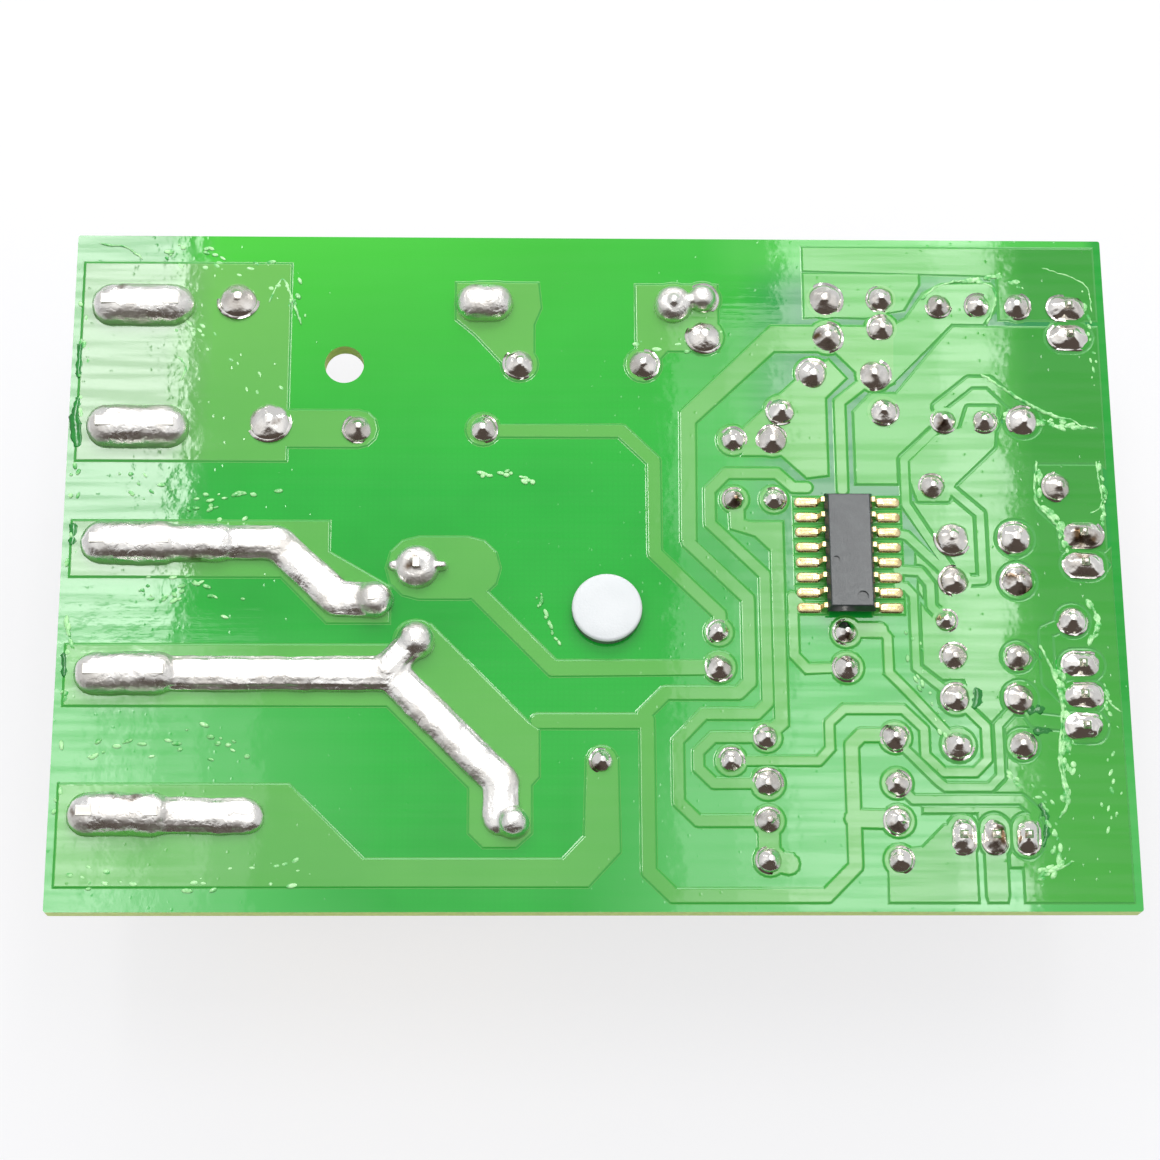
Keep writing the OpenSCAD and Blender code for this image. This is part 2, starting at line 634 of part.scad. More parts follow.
triac_lead_w = 0.8;
triac_lead_t = 0.5;
triac_pitch = 2.54;
case_t = 4.5;
case_h = 9.2;
case_low = 4;                       // case starts this far below the board
tab_t = 1.3;
tab_h = 6.2;
clamp_z = case_low + case_h + 2.9;  // height of the clamp hole under the board
clamp_gap = 0.6;                    // how much wider the clamp hole is than the screw
tab_notch = 1.6;                    // square notch in each side of the tab
nut_w = 5.5 / 3 * clamp_d;          // across flats
nut_h = 0.8 * clamp_d;

module triac_case() {
    front = case_t - tab_back;
    color("#2a2b2d") hang(triac_at) rotate([90, 0, 0])
        linear_extrude(triac_w, center = true) polygon([
            [-tab_back + tab_t, case_low], [front - 0.3, case_low], [front, case_low + 1],
            [front, case_low + case_h - 1.6], [front - 0.9, case_low + case_h],
            [-tab_back + tab_t, case_low + case_h]]);
}

module triac_tab() {
    color(steel) hang(triac_at) translate([-tab_back, 0, 0]) difference() {
        translate([0, -triac_w / 2, case_low]) cube([tab_t, triac_w, case_h + tab_h]);
        translate([-tab_t, 0, clamp_z]) rotate([0, 90, 0])
            cylinder(d = clamp_d + clamp_gap, h = 3 * tab_t);
        for (side = [-1, 1])
            translate([-tab_t, (side * triac_w - tab_notch) / 2, case_low + case_h + 0.6])
                cube([3 * tab_t, tab_notch, tab_notch]);
    }
}

// A lead leaves the case, bends to its own hole and goes straight through the board
module triac_lead(i) {
    start = [0, (1 - i) * triac_pitch];
    foot = triac_foot[i];
    straight = 1;
    hang(triac_at) {
        translate([foot[0] - triac_lead_t / 2, foot[1] - triac_lead_w / 2, -through])
            cube([triac_lead_t, triac_lead_w, through + straight]);
        hull() {
            translate([foot[0] - triac_lead_t / 2, foot[1] - triac_lead_w / 2, straight])
                cube([triac_lead_t, triac_lead_w, fine]);
            translate([start[0] - triac_lead_t / 2, start[1] - triac_lead_w / 2, case_low])
                translate([0, 0, -fine]) cube([triac_lead_t, triac_lead_w, fine]);
        }
    }
}

module triac_leads() {
    color(tin) for (i = [0:2]) triac_lead(i);
}

// Extruded comb: a back plate with fins that grow thinner towards their ends,
// and a channel in the middle for the nut
module heat_sink() {
    root = -tab_back - sink_plate;
    low = 0.5;
    channel = nut_w / cos(30) + 1;
    first = channel / 2 + fin_t / 2;
    step = (sink_w / 2 - fin_t / 2 - first) / (side_fins - 1);
    color("#b9bcc0") hang(triac_at) difference() {
        translate([0, 0, low]) linear_extrude(tall_h - low) union() {
            translate([root, -sink_w / 2]) square([sink_plate, sink_w]);
            for (side = [-1, 1], i = [0:side_fins - 1])
                translate([root, side * (first + i * step)])
                    polygon([[0.2, -fin_t / 2], [0.2, fin_t / 2], [-fin_l, fin_t / 2 - 0.25],
                        [-fin_l, -fin_t / 2 + 0.25]]);
        }
        translate([root - 1, 0, clamp_z]) rotate([0, 90, 0])
            cylinder(d = clamp_d + 0.3, h = sink_plate + 2);
    }
}

// Pan head screw through tab and plate, with its nut between the middle fins
module clamp_screw() {
    head_d = 5.6;
    head_h = 2.2;
    stem = tab_t + sink_plate + 3.4;
    color(steel) hang(triac_at) translate([-tab_back + tab_t, 0, clamp_z])
        rotate([0, 90, 0]) difference() {
            union() {
                translate([0, 0, -stem]) cylinder(d = clamp_d, h = stem);
                rotate_extrude() polygon([[0, 0], [head_d / 2, 0], [head_d / 2, 1.3],
                    [head_d / 2 - 0.7, head_h], [0, head_h]]);
            }
            for (a = [0, 90]) rotate(a) translate([-1.4, -0.35, head_h - 1.1])
                cube([2.8, 0.7, 2]);
        }
}

module clamp_nut() {
    color(steel) hang(triac_at) translate([-tab_back - sink_plate - nut_h, 0, clamp_z])
        rotate([0, 90, 0]) difference() {
            cylinder(d = nut_w / cos(30), h = nut_h, $fn = 6);
            translate([0, 0, -nut_h]) cylinder(d = clamp_d, h = 3 * nut_h);
        }
}

// ---------- capacitors, varistor ----------

// Box with a lead at each end of its pitch; the small feet keep it off the board
module lead_box(l, w, h, pitch, d) {
    foot_h = 0.4;
    foot_l = 0.9;
    translate([-l / 2, -w / 2, foot_h]) cube([l, w, h - foot_h]);
    for (x = [-1, 1]) translate([x * (l - foot_l) / 2 - foot_l / 2, -w / 2, 0])
        cube([foot_l, w, foot_h]);
    for (p = [-1, 1]) translate([p * pitch / 2, 0, -through])
        cylinder(d = d, h = through + foot_h + 1);
}

module mains_capacitor() {
    color("#e3c23a") hang(mains_at)
        lead_box(mains_l, mains_w, mains_h, mains_pitch, thick_lead_d);
}

module film_capacitor() {
    color("#e3c23a") hang(film_at)
        lead_box(film_l, film_w, film_h, film_pitch, thick_lead_d);
}

module box_capacitor(i) {
    color("#c8452f") hang(boxes[i][0], boxes[i][1])
        lead_box(box_l, box_w, box_h, box_pitch, lead_d);
}

module box_capacitor_1() { box_capacitor(0); }
module box_capacitor_2() { box_capacitor(1); }
module box_capacitor_3() { box_capacitor(2); }
module box_capacitor_4() { box_capacitor(3); }
module box_capacitor_5() { box_capacitor(4); }
module box_capacitor_6() { box_capacitor(5); }
module box_capacitor_7() { box_capacitor(6); }
module box_capacitor_8() { box_capacitor(7); }

// Disc on edge, dipped in lacquer that rounds its rim
module varistor() {
    lift = 2.2;
    rim = 1.4;
    color("#2f6fb5") hang(disc_at, disc_angle) {
        translate([0, 0, lift + disc_d / 2]) rotate([90, 0, 0]) rotate_extrude($fn = 48)
            polygon(concat([[0, -disc_t / 2]],
                [for (a = [-90:30:0]) [disc_d / 2 - rim + rim * cos(a),
                    -disc_t / 2 + rim + rim * sin(a)]],
                [for (a = [0:30:90]) [disc_d / 2 - rim + rim * cos(a),
                    disc_t / 2 - rim + rim * sin(a)]], [[0, disc_t / 2]]));
        for (p = [-1, 1]) translate([p * disc_pitch / 2, 0, -through])
            cylinder(d = thick_lead_d, h = through + lift + disc_d / 2);
    }
}

// Can with its rolled groove near the open end, where the rubber bung sits
module smoothing_can() {
    r = can_d / 2;
    groove = 0.45;
    color("#22324a") hang(can_at) rotate_extrude() polygon([
        [0, 0.6], [r - 0.9, 0.6], [r - 0.7, 0.1], [r - 0.15, 0.1], [r, 0.4], [r, 1.6],
        [r - groove, 2.1], [r - groove, 2.5], [r, 3], [r, tall_h - 0.4],
        [r - 0.4, tall_h], [0, tall_h]]);
}

module smoothing_leads() {
    color(tin) hang(can_at) for (p = ends([0, 0], 90, can_pitch))
        translate([p[0], p[1], -through]) cylinder(d = lead_d, h = through + 0.6);
}

// ---------- axial parts ----------

// Body between two leads that bend up through the board
module axial(place, body_r) {
    half = place[2] / 2;
    z = body_r + seat_gap;
    hang(place[0], place[1]) {
        for (side = [0, 180]) rotate(side) {
            translate([half, 0, -through]) cylinder(d = lead_d, h = through + z - bend_r);
            translate([half - bend_r, 0, z - bend_r]) rotate([90, 0, 0])
                rotate_extrude(angle = 90) translate([bend_r, 0]) circle(d = lead_d);
            translate([0, 0, z]) rotate([0, 90, 0])
                cylinder(d = lead_d, h = half - bend_r);
        }
        translate([0, 0, z]) rotate([0, 90, 0]) children();
    }
}

// Resistor body with its wider end caps
module resistor(i) {
    r = resistor_d / 2;
    waist = r - 0.17;
    half = resistor_l / 2;
    cap = 1.3;
    color("#cdb58a") axial(resistors[i], r) rotate_extrude() polygon([
        [0, -half], [r - 0.4, -half], [r - 0.1, -half + 0.15], [r, -half + 0.45],
        [r, -half + cap], [waist, -half + cap + 0.3], [waist, half - cap - 0.3],
        [r, half - cap], [r, half - 0.45], [r - 0.1, half - 0.15], [r - 0.4, half],
        [0, half]]);
}

module resistor_1() { resistor(0); }
module resistor_2() { resistor(1); }
module resistor_3() { resistor(2); }
module resistor_4() { resistor(3); }
module resistor_5() { resistor(4); }
module resistor_6() { resistor(5); }
module resistor_7() { resistor(6); }
module resistor_8() { resistor(7); }
module resistor_9() { resistor(8); }
module resistor_10() { resistor(9); }
module resistor_11() { resistor(10); }
module resistor_12() { resistor(11); }
module resistor_13() { resistor(12); }
module resistor_14() { resistor(13); }
module resistor_15() { resistor(14); }
module resistor_16() { resistor(15); }

module diode() {
    r = 1.25;
    half = 2.3;
    color("#1d1d1f") axial(diode_place, r) rotate_extrude() polygon([
        [0, -half], [r - 0.15, -half], [r, -half + 0.15], [r, half - 0.15],
        [r - 0.15, half], [0, half]]);
}

// ---------- plug headers ----------

// Base with a latch wall along its back; the pins have their own holes
module header(i) {
    h = headers[i];
    l = h[2] * pin_pitch + 0.1;
    wall = 0.9;
    color("#ece7d8") hang(h[0], h[1]) difference() {
        union() {
            translate([-l / 2, -base_w / 2, 0]) cube([l, base_w, base_h]);
            translate([-l / 2, base_w / 2 - wall, 0]) cube([l, wall, latch_h]);
            translate([-l / 2, base_w / 2 - wall, latch_h]) rotate([0, 90, 0])
                linear_extrude(l) polygon([[0, 0], [1.8, 0], [0.9, -0.6]]);
        }
        for (k = [0:h[2] - 1])
            translate([(k - (h[2] - 1) / 2) * pin_pitch - pin_side / 2, -pin_side / 2, -1])
                cube([pin_side, pin_side, base_h + 2]);
    }
}

module header_1() { header(0); }
module header_2() { header(1); }
module header_3() { header(2); }
module header_4() { header(3); }

module header_pins() {
    color(steel) for (h = headers) hang(h[0], h[1]) for (k = [0:h[2] - 1])
        translate([(k - (h[2] - 1) / 2) * pin_pitch - pin_side / 2, -pin_side / 2, -through])
            cube([pin_side, pin_side, through + pin_h]);
}

laminate();
copper_power();
copper_middle();
copper_right();
power_solder();
solder_left();
solder_middle();
solder_right();
chip_solder();
chip_body();
chip_leads();
support_post();
blade_terminal_1();
blade_terminal_2();
blade_terminal_3();
blade_terminal_4();
blade_terminal_5();
heat_sink();
triac_case();
triac_tab();
triac_leads();
clamp_screw();
clamp_nut();
varistor();
mains_capacitor();
film_capacitor();
smoothing_can();
smoothing_leads();
resistor_1();
resistor_2();
resistor_3();
resistor_4();
resistor_5();
resistor_6();
resistor_7();
resistor_8();
resistor_9();
resistor_10();
resistor_11();
resistor_12();
resistor_13();
resistor_14();
resistor_15();
resistor_16();
diode();
box_capacitor_1();
box_capacitor_2();
box_capacitor_3();
box_capacitor_4();
box_capacitor_5();
box_capacitor_6();
box_capacitor_7();
box_capacitor_8();
header_1();
header_2();
header_3();
header_4();
header_pins();
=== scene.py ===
"""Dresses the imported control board: solder, mask, chip, leads and the parts below it.

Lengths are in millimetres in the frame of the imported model, unless a line says metres,
and MM turns them into Blender's metres. The board lies with its solder side up.
"""

import logging
import math
import random
from dataclasses import dataclass, field
from enum import Enum
from typing import Callable, Sequence

import bmesh
import bpy
from mathutils import Matrix, Vector


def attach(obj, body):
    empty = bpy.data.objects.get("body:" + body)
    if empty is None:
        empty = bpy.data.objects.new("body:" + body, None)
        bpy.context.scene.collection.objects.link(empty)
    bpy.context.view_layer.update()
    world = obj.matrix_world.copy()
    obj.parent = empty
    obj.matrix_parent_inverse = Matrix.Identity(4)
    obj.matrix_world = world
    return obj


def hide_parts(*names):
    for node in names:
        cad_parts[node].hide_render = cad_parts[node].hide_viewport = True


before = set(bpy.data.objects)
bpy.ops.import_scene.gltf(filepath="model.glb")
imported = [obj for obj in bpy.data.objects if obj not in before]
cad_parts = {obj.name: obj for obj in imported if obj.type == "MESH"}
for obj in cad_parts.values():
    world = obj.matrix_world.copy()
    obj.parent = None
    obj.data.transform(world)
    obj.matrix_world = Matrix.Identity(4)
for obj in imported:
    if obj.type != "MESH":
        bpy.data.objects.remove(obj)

LOG = logging.getLogger("control_board")
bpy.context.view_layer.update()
MM = 0.001
HALF_X = 42.5         # half of the board's length
BOARD_Z = 20.0        # component face
TOP_Z = 21.6          # solder face
FOIL_Z = 21.67        # top of the masked copper
LEAD_END = BOARD_Z - TOP_Z - 0.55    # end of a cut lead on a hung part

Piece = bpy.types.Object
Tree = bpy.types.NodeTree
Socket = bpy.types.NodeSocket
Feed = Socket | float | tuple[float, ...]
Feeds = dict[str | int, Feed]
Point = tuple[float, float]
Span = tuple[float, float]
Colour = tuple[float, float, float]


def left(x: float, y: float) -> Point:
    """A place set out from the board's left edge, in mm."""
    return (x - HALF_X, y)


def right(x: float, y: float) -> Point:
    """A place set out from the board's right edge, in mm."""
    return (HALF_X - x, y)


def linear(value: float) -> float:
    """Turns one channel of a screen colour, 0 to 255, into linear light."""
    value /= 255
    return value / 12.92 if value <= 0.04045 else ((value + 0.055) / 1.055) ** 2.4


def srgb(red: float, green: float, blue: float) -> tuple[float, float, float, float]:
    """Turns a screen colour of 0 to 255 into a linear colour with alpha."""
    return (linear(red), linear(green), linear(blue), 1.0)


# ---------------------------------------------------------------- materials


def feed(node: bpy.types.Node, feeds: Feeds) -> None:
    """Feeds a node's inputs.

    Args:
        node: The node.
        feeds: What each input takes, by name or number: a socket or a plain value.
    """
    for name, value in feeds.items():
        if isinstance(value, Socket):
            node.id_data.links.new(value, node.inputs[name])
        else:
            node.inputs[name].default_value = value


def add_node(tree: Tree, kind: str, feeds: Feeds, **settings: object) -> bpy.types.Node:
    """Adds a shader node, sets it up and feeds its inputs.

    Args:
        tree: The node tree.
        kind: The node's type, without its "ShaderNode".
        feeds: What each input takes.
        **settings: The node's own settings.

    Returns:
        The node.
    """
    node = tree.nodes.new("ShaderNode" + kind)
    for name, value in settings.items():
        setattr(node, name, value)
    feed(node, feeds)
    return node


def mix_colours(tree: Tree, factor: Socket, first: Feed, second: Feed) -> Socket:
    """Mixes two colours by a factor; a Mix node keeps its colours on 6, 7 and 2."""
    node = add_node(tree, "Mix", {"Factor": factor, 6: first, 7: second}, data_type="RGBA")
    return node.outputs[2]


class Effect(Enum):
    """Surface effects that several finishes share, each one node group."""

    MOTTLE = "soft_mottle"
    STREAK = "drawn_streaks"
    WEAVE = "glass_weave"
    SPECK = "fine_specks"


class EffectShop:
    """Builds each shared node group once and hands it out."""

    def __init__(self) -> None:
        """Starts with no group made."""
        self.made: dict[Effect, Tree] = {}

    def get(self, effect: Effect) -> Tree:
        """Gives an effect's node group, made on first use.

        Args:
            effect: The effect wanted.

        Returns:
            Its shader node group, with a Vector input and a Mask output.
        """
        if effect not in self.made:
            tree = bpy.data.node_groups.new(effect.value, "ShaderNodeTree")
            face = tree.interface
            face.new_socket("Vector", in_out="INPUT", socket_type="NodeSocketVector")
            for name, value in (("Scale", 1000.0), ("Low", 0.4), ("High", 0.6)):
                socket = face.new_socket(name, in_out="INPUT", socket_type="NodeSocketFloat")
                socket.default_value = value
            face.new_socket("Mask", in_out="OUTPUT", socket_type="NodeSocketFloat")
            start = tree.nodes.new("NodeGroupInput").outputs
            ramp = add_node(tree, "MapRange", {
                "Value": self.height(tree, effect, start["Vector"], start["Scale"]),
                "From Min": start["Low"], "From Max": start["High"]},
                interpolation_type="SMOOTHSTEP")
            feed(tree.nodes.new("NodeGroupOutput"), {"Mask": ramp.outputs["Result"]})
            self.made[effect] = tree
        return self.made[effect]

    @staticmethod
    def height(tree: Tree, effect: Effect, vector: Socket, scale: Socket) -> Socket:
        """Draws an effect's height map inside its group.

        Args:
            tree: The group.
            effect: The effect.
            vector: The coordinates to read.
            scale: Repeats per metre.

        Returns:
            The height: soft cloudy patches, long thin streaks along X, a plain weave of
            crossing threads, or small specks that are highest in their middle.
        """
        read = {"Vector": vector, "Scale": scale}
        if effect is Effect.MOTTLE:
            return add_node(tree, "TexNoise", {**read, "Detail": 4.0}).outputs["Fac"]
        if effect is Effect.STREAK:
            drawn = add_node(tree, "VectorMath", {0: vector, 1: (0.06, 1.0, 1.0)},
                             operation="MULTIPLY")
            read["Vector"] = drawn.outputs["Vector"]
            return add_node(tree, "TexNoise", {**read, "Detail": 3.0}).outputs["Fac"]
        if effect is Effect.WEAVE:
            threads = (add_node(tree, "TexWave", {**read, "Distortion": 0.6, "Detail": 1.0},
                                bands_direction=axis).outputs["Fac"] for axis in "XY")
            return add_node(tree, "Math", dict(enumerate(threads)),
                            operation="MAXIMUM").outputs["Value"]
        cells = add_node(tree, "TexVoronoi", {**read, "Randomness": 1.0})
        return add_node(tree, "Math", {0: 1.0, 1: cells.outputs["Distance"]},
                        operation="SUBTRACT").outputs["Value"]


EFFECTS = EffectShop()


class Recipe:
    """One material while its nodes are being joined up."""

    def __init__(self, name: str) -> None:
        """Starts a material with its Principled shader.

        Args:
            name: The material's name.
        """
        self.material = bpy.data.materials.new(name)
        self.material.use_nodes = True
        self.tree = self.material.node_tree
        self.shader = self.tree.nodes["Principled BSDF"]
        self.place = add_node(self.tree, "TexCoord", {}).outputs["Object"]

    def feed(self, **feeds: Feed) -> bpy.types.Material:
        """Feeds the shader's own sockets, underscores read as spaces."""
        feed(self.shader, {name.replace("_", " "): value for name, value in feeds.items()})
        return self.material

    def mask(self, effect: Effect, scale: float, low: float, high: float) -> Socket:
        """Places a shared effect and gives its mask.

        Args:
            effect: The effect.
            scale: Repeats per metre.
            low: Height at which the mask starts.
            high: Height at which the mask is full.

        Returns:
            The mask socket.
        """
        group = add_node(self.tree, "Group", {
            "Vector": self.place, "Scale": scale, "Low": low, "High": high},
            node_tree=EFFECTS.get(effect))
        return group.outputs["Mask"]

    def mix(self, mask: Socket, first: Feed, second: Feed) -> Socket:
        """Mixes two colours, given as values or sockets, by a mask."""
        return mix_colours(self.tree, mask, first, second)

    def span(self, value: Socket, low: float, high: float, first: float,
             last: float) -> Socket:
        """Maps a value from one range to another, held at both ends.

        Args:
            value: The value.
            low: Start of its range.
            high: End of its range.
            first: What the start gives.
            last: What the end gives.

        Returns:
            The mapped value.
        """
        node = add_node(self.tree, "MapRange", {
            "Value": value, "From Min": low, "From Max": high, "To Min": first,
            "To Max": last})
        return node.outputs["Result"]

    def along(self, axis: str, low: float, high: float, first: float,
              last: float) -> Socket:
        """Maps a stretch of one of the object's own axes.

        Args:
            axis: X, Y or Z.
            low: Start of the stretch, mm.
            high: End of the stretch, mm.
            first: What its start gives.
            last: What its end gives.

        Returns:
            The mapped place.
        """
        parts = add_node(self.tree, "SeparateXYZ", {"Vector": self.place})
        return self.span(parts.outputs[axis], low * MM, high * MM, first, last)

    def math(self, kind: str, first: Feed, second: Feed) -> Socket:
        """Joins two numbers, given as values or sockets, by one operation."""
        node = add_node(self.tree, "Math", {0: first, 1: second}, operation=kind)
        return node.outputs["Value"]

    def relief(self, *layers: tuple[Socket, float, float]) -> Socket:
        """Raises the surface by height maps, the coarsest first.

        Args:
            *layers: Each map's height of 0 to 1, depth in metres and strength.

        Returns:
            The bumped normal.
        """
        under: Feeds = {}
        for height, depth, strength in layers:
            node = add_node(self.tree, "Bump", {
                "Height": height, "Distance": depth, "Strength": strength, **under})
            under = {"Normal": node.outputs["Normal"]}
        return under["Normal"]


@dataclass(frozen=True)
class Plain:
    """A moulded, drawn or dipped finish: mottled colour, uneven gloss and fine grain.

    Attributes:
        name: The material's name.
        base: Main colour, 0 to 255.
        shade: Colour of the mottled patches.
        mottle: Patches per metre.
        gloss: Lowest and highest roughness.
        grain: Grains per metre of the fine bump.
        depth: Depth of the grain in metres.
        metallic: 0 for plastic, 1 for metal.
        streaky: Whether the grain is drawn out in streaks.
    """

    name: str
    base: Colour
    shade: Colour
    mottle: float = 300.0
    gloss: Span = (0.35, 0.5)
    grain: float = 4000.0
    depth: float = 0.00001
    metallic: float = 0.0
    streaky: bool = False

    def build(self) -> bpy.types.Material:
        """Makes the material.

        Returns:
            The material, ready to use.
        """
        recipe = Recipe(self.name)
        patches = recipe.mask(Effect.MOTTLE, self.mottle, 0.35, 0.7)
        kind = Effect.STREAK if self.streaky else Effect.MOTTLE
        grain = recipe.mask(kind, self.grain, 0.25, 0.75)
        return recipe.feed(
            Metallic=self.metallic,
            Base_Color=recipe.mix(patches, srgb(*self.base), srgb(*self.shade)),
            Roughness=recipe.span(grain, 0, 1, *self.gloss),
            Normal=recipe.relief((grain, self.depth, 0.6)))


@dataclass(frozen=True)
class Wash:
    """A tint of the mask that comes in over a stretch of the board.

    Attributes:
        tint: The colour it turns to.
        along: X where it starts and where it is full, mm.
        across: Y where it starts and where it is full, mm.
    """

    tint: Colour
    along: Span
    across: Span

    def over(self, recipe: Recipe, face: Socket) -> Socket:
        """Lays the tint over a face colour and gives the new colour."""
        share = recipe.math("MULTIPLY", recipe.along("X", *self.along, 0, 1),
                            recipe.along("Y", *self.across, 0, 1))
        return recipe.mix(share, face, srgb(*self.tint))


@dataclass(frozen=True)
class Mask:
    """Green solder mask over laminate or over copper, glossy and a little wavy.

    Attributes:
        name: The material's name.
        face: Colour of the solder side.
        deep: Colour of its darker patches.
        wall: Colour of the cut edges and hole walls.
        under: Colour of the component side.
        slope: Colour of the mask's slope from the copper down to the laminate, a painted shade
            of that groove.
        washes: Tints laid over parts of the face; those that lighten it towards the top are
            painted light.
        weave: How strongly the glass threads show, 0 to 1.
        shine: Specular level of the mask, and where it is brushed.
        gloss: Lowest and highest roughness of the mask.
        dry: How much rougher the bare laminate is.
    """

    name: str
    face: Colour
    deep: Colour
    wall: Colour
    under: Colour
    slope: Colour
    washes: tuple[Wash, ...]
    weave: float = 0.12
    shine: Span = (0.55, 0.36)
    gloss: Span = (0.03, 0.055)
    dry: float = 0.45

    def lacquer(self, recipe: Recipe, threads: Socket) -> Socket:
        """Colours the solder side.

        Args:
            recipe: The material being made.
            threads: The mask of the glass threads.

        Returns:
            The colour, with its patches, threads and washes, some of them painted light, and
            the copper's slopes in painted shade.
        """
        deep = srgb(*self.deep)
        patches = recipe.mask(Effect.MOTTLE, 60, 0.3, 0.75)
        colour = recipe.mix(patches, srgb(*self.face), deep)
        colour = recipe.mix(recipe.math("MULTIPLY", threads, self.weave), colour, deep)
        # Washes that lighten the face towards the top are painted light, a soft reflection.
        for wash in self.washes:
            colour = wash.over(recipe, colour)
        # Painted shade: the copper's slopes take the darker slope colour.
        is_slope = recipe.math(
            "MULTIPLY", recipe.along("Z", TOP_Z + 0.002, TOP_Z + 0.012, 0, 1),
            recipe.along("Z", FOIL_Z - 0.03, FOIL_Z - 0.002, 1, 0))
        return recipe.mix(is_slope, colour, srgb(*self.slope))

    def brushed(self, recipe: Recipe) -> Socket:
        """Dulls the mask in streaks, most of all near both ends, as if wiped.

        Args:
            recipe: The material being made.

        Returns:
            The specular level.
        """
        ends = recipe.math("ADD", recipe.along("X", -33, -30, 1, 0.3),
                           recipe.along("X", 9, 16, 0, 0.7))
        wiped = recipe.math("MULTIPLY", recipe.mask(Effect.STREAK, 1150, 0.4, 0.64), ends)
        return recipe.span(wiped, 0, 1, *self.shine)

    def build(self) -> bpy.types.Material:
        """Makes the material.

        Returns:
            The material, ready to use.
        """
        recipe = Recipe(self.name)
        is_top = recipe.along("Z", TOP_Z - 0.03, TOP_Z - 0.01, 0, 1)
        is_under = recipe.along("Z", BOARD_Z + 0.01, BOARD_Z + 0.03, 1, 0)
        threads = recipe.mask(Effect.WEAVE, 700, 0.4, 1.0)
        fibres = recipe.mask(Effect.MOTTLE, 2500, 0.3, 0.7)
        wall = recipe.mix(fibres, srgb(*self.wall),
                          srgb(*(0.92 * part for part in self.wall)))
        below = recipe.mix(threads, srgb(*self.under),
                           srgb(*(0.93 * part for part in self.under)))
        board = recipe.mix(is_top, wall, self.lacquer(recipe, threads))
        waves = recipe.mask(Effect.MOTTLE, 170, 0.0, 1.0)
        ripple = recipe.math("MULTIPLY", recipe.mask(Effect.MOTTLE, 620, 0.2, 0.8),
                             recipe.along("X", -38, -30, 1, 0.05))
        drag = recipe.mask(Effect.STREAK, 1500, 0.0, 1.0)
        pits = recipe.mask(Effect.SPECK, 900, 0.86, 0.97)
        bare = recipe.math("MULTIPLY", recipe.math("SUBTRACT", 1.0, is_top), self.dry)
        return recipe.feed(
            IOR=1.5, Specular_IOR_Level=self.brushed(recipe),
            Base_Color=recipe.mix(is_under, board, below),
            Roughness=recipe.math("ADD", recipe.span(drag, 0, 1, *self.gloss), bare),
            Normal=recipe.relief((waves, 0.0001, 0.14), (ripple, 0.00003, 0.3),
                                 (drag, 0.00002, 0.16), (pits, 0.00002, 0.2)))


@dataclass(frozen=True)
class Solder:
    """Tin solder: bright, wrinkled and stained brown by burnt flux in places.

    Attributes:
        name: The material's name.
        bright: Colour of clean tin.
        dull: Colour of frosted tin.
        gloss: Lowest and highest roughness.
        stained: Height of noise from which the stain starts.
        creased: Strength of the fine creases.
        stain: Colour of the flux stain.
    """

    name: str
    bright: Colour = (246, 243, 238)
    dull: Colour = (214, 208, 200)
    gloss: Span = (0.1, 0.24)
    stained: float = 0.6
    creased: float = 0.08
    stain: Colour = (104, 82, 58)

    def build(self) -> bpy.types.Material:
        """Makes the material.

        Returns:
            The material, ready to use.
        """
        recipe = Recipe(self.name)
        frost = recipe.mask(Effect.MOTTLE, 420, 0.42, 0.68)
        burnt = recipe.mask(Effect.MOTTLE, 330, self.stained, self.stained + 0.12)
        wrinkle = recipe.mask(Effect.MOTTLE, 600, 0.2, 0.8)
        crease = recipe.mask(Effect.MOTTLE, 1500, 0.44, 0.56)
        grit = recipe.mask(Effect.MOTTLE, 3600, 0.3, 0.8)
        tin = recipe.mix(frost, srgb(*self.bright), srgb(*self.dull))
        return recipe.feed(
            Metallic=1.0, Base_Color=recipe.mix(burnt, tin, srgb(*self.stain)),
            Roughness=recipe.span(frost, 0, 1, *self.gloss),
            Normal=recipe.relief((wrinkle, 0.00015, 0.35), (crease, 0.00003, self.creased),
                                 (grit, 0.00002, 0.12)))


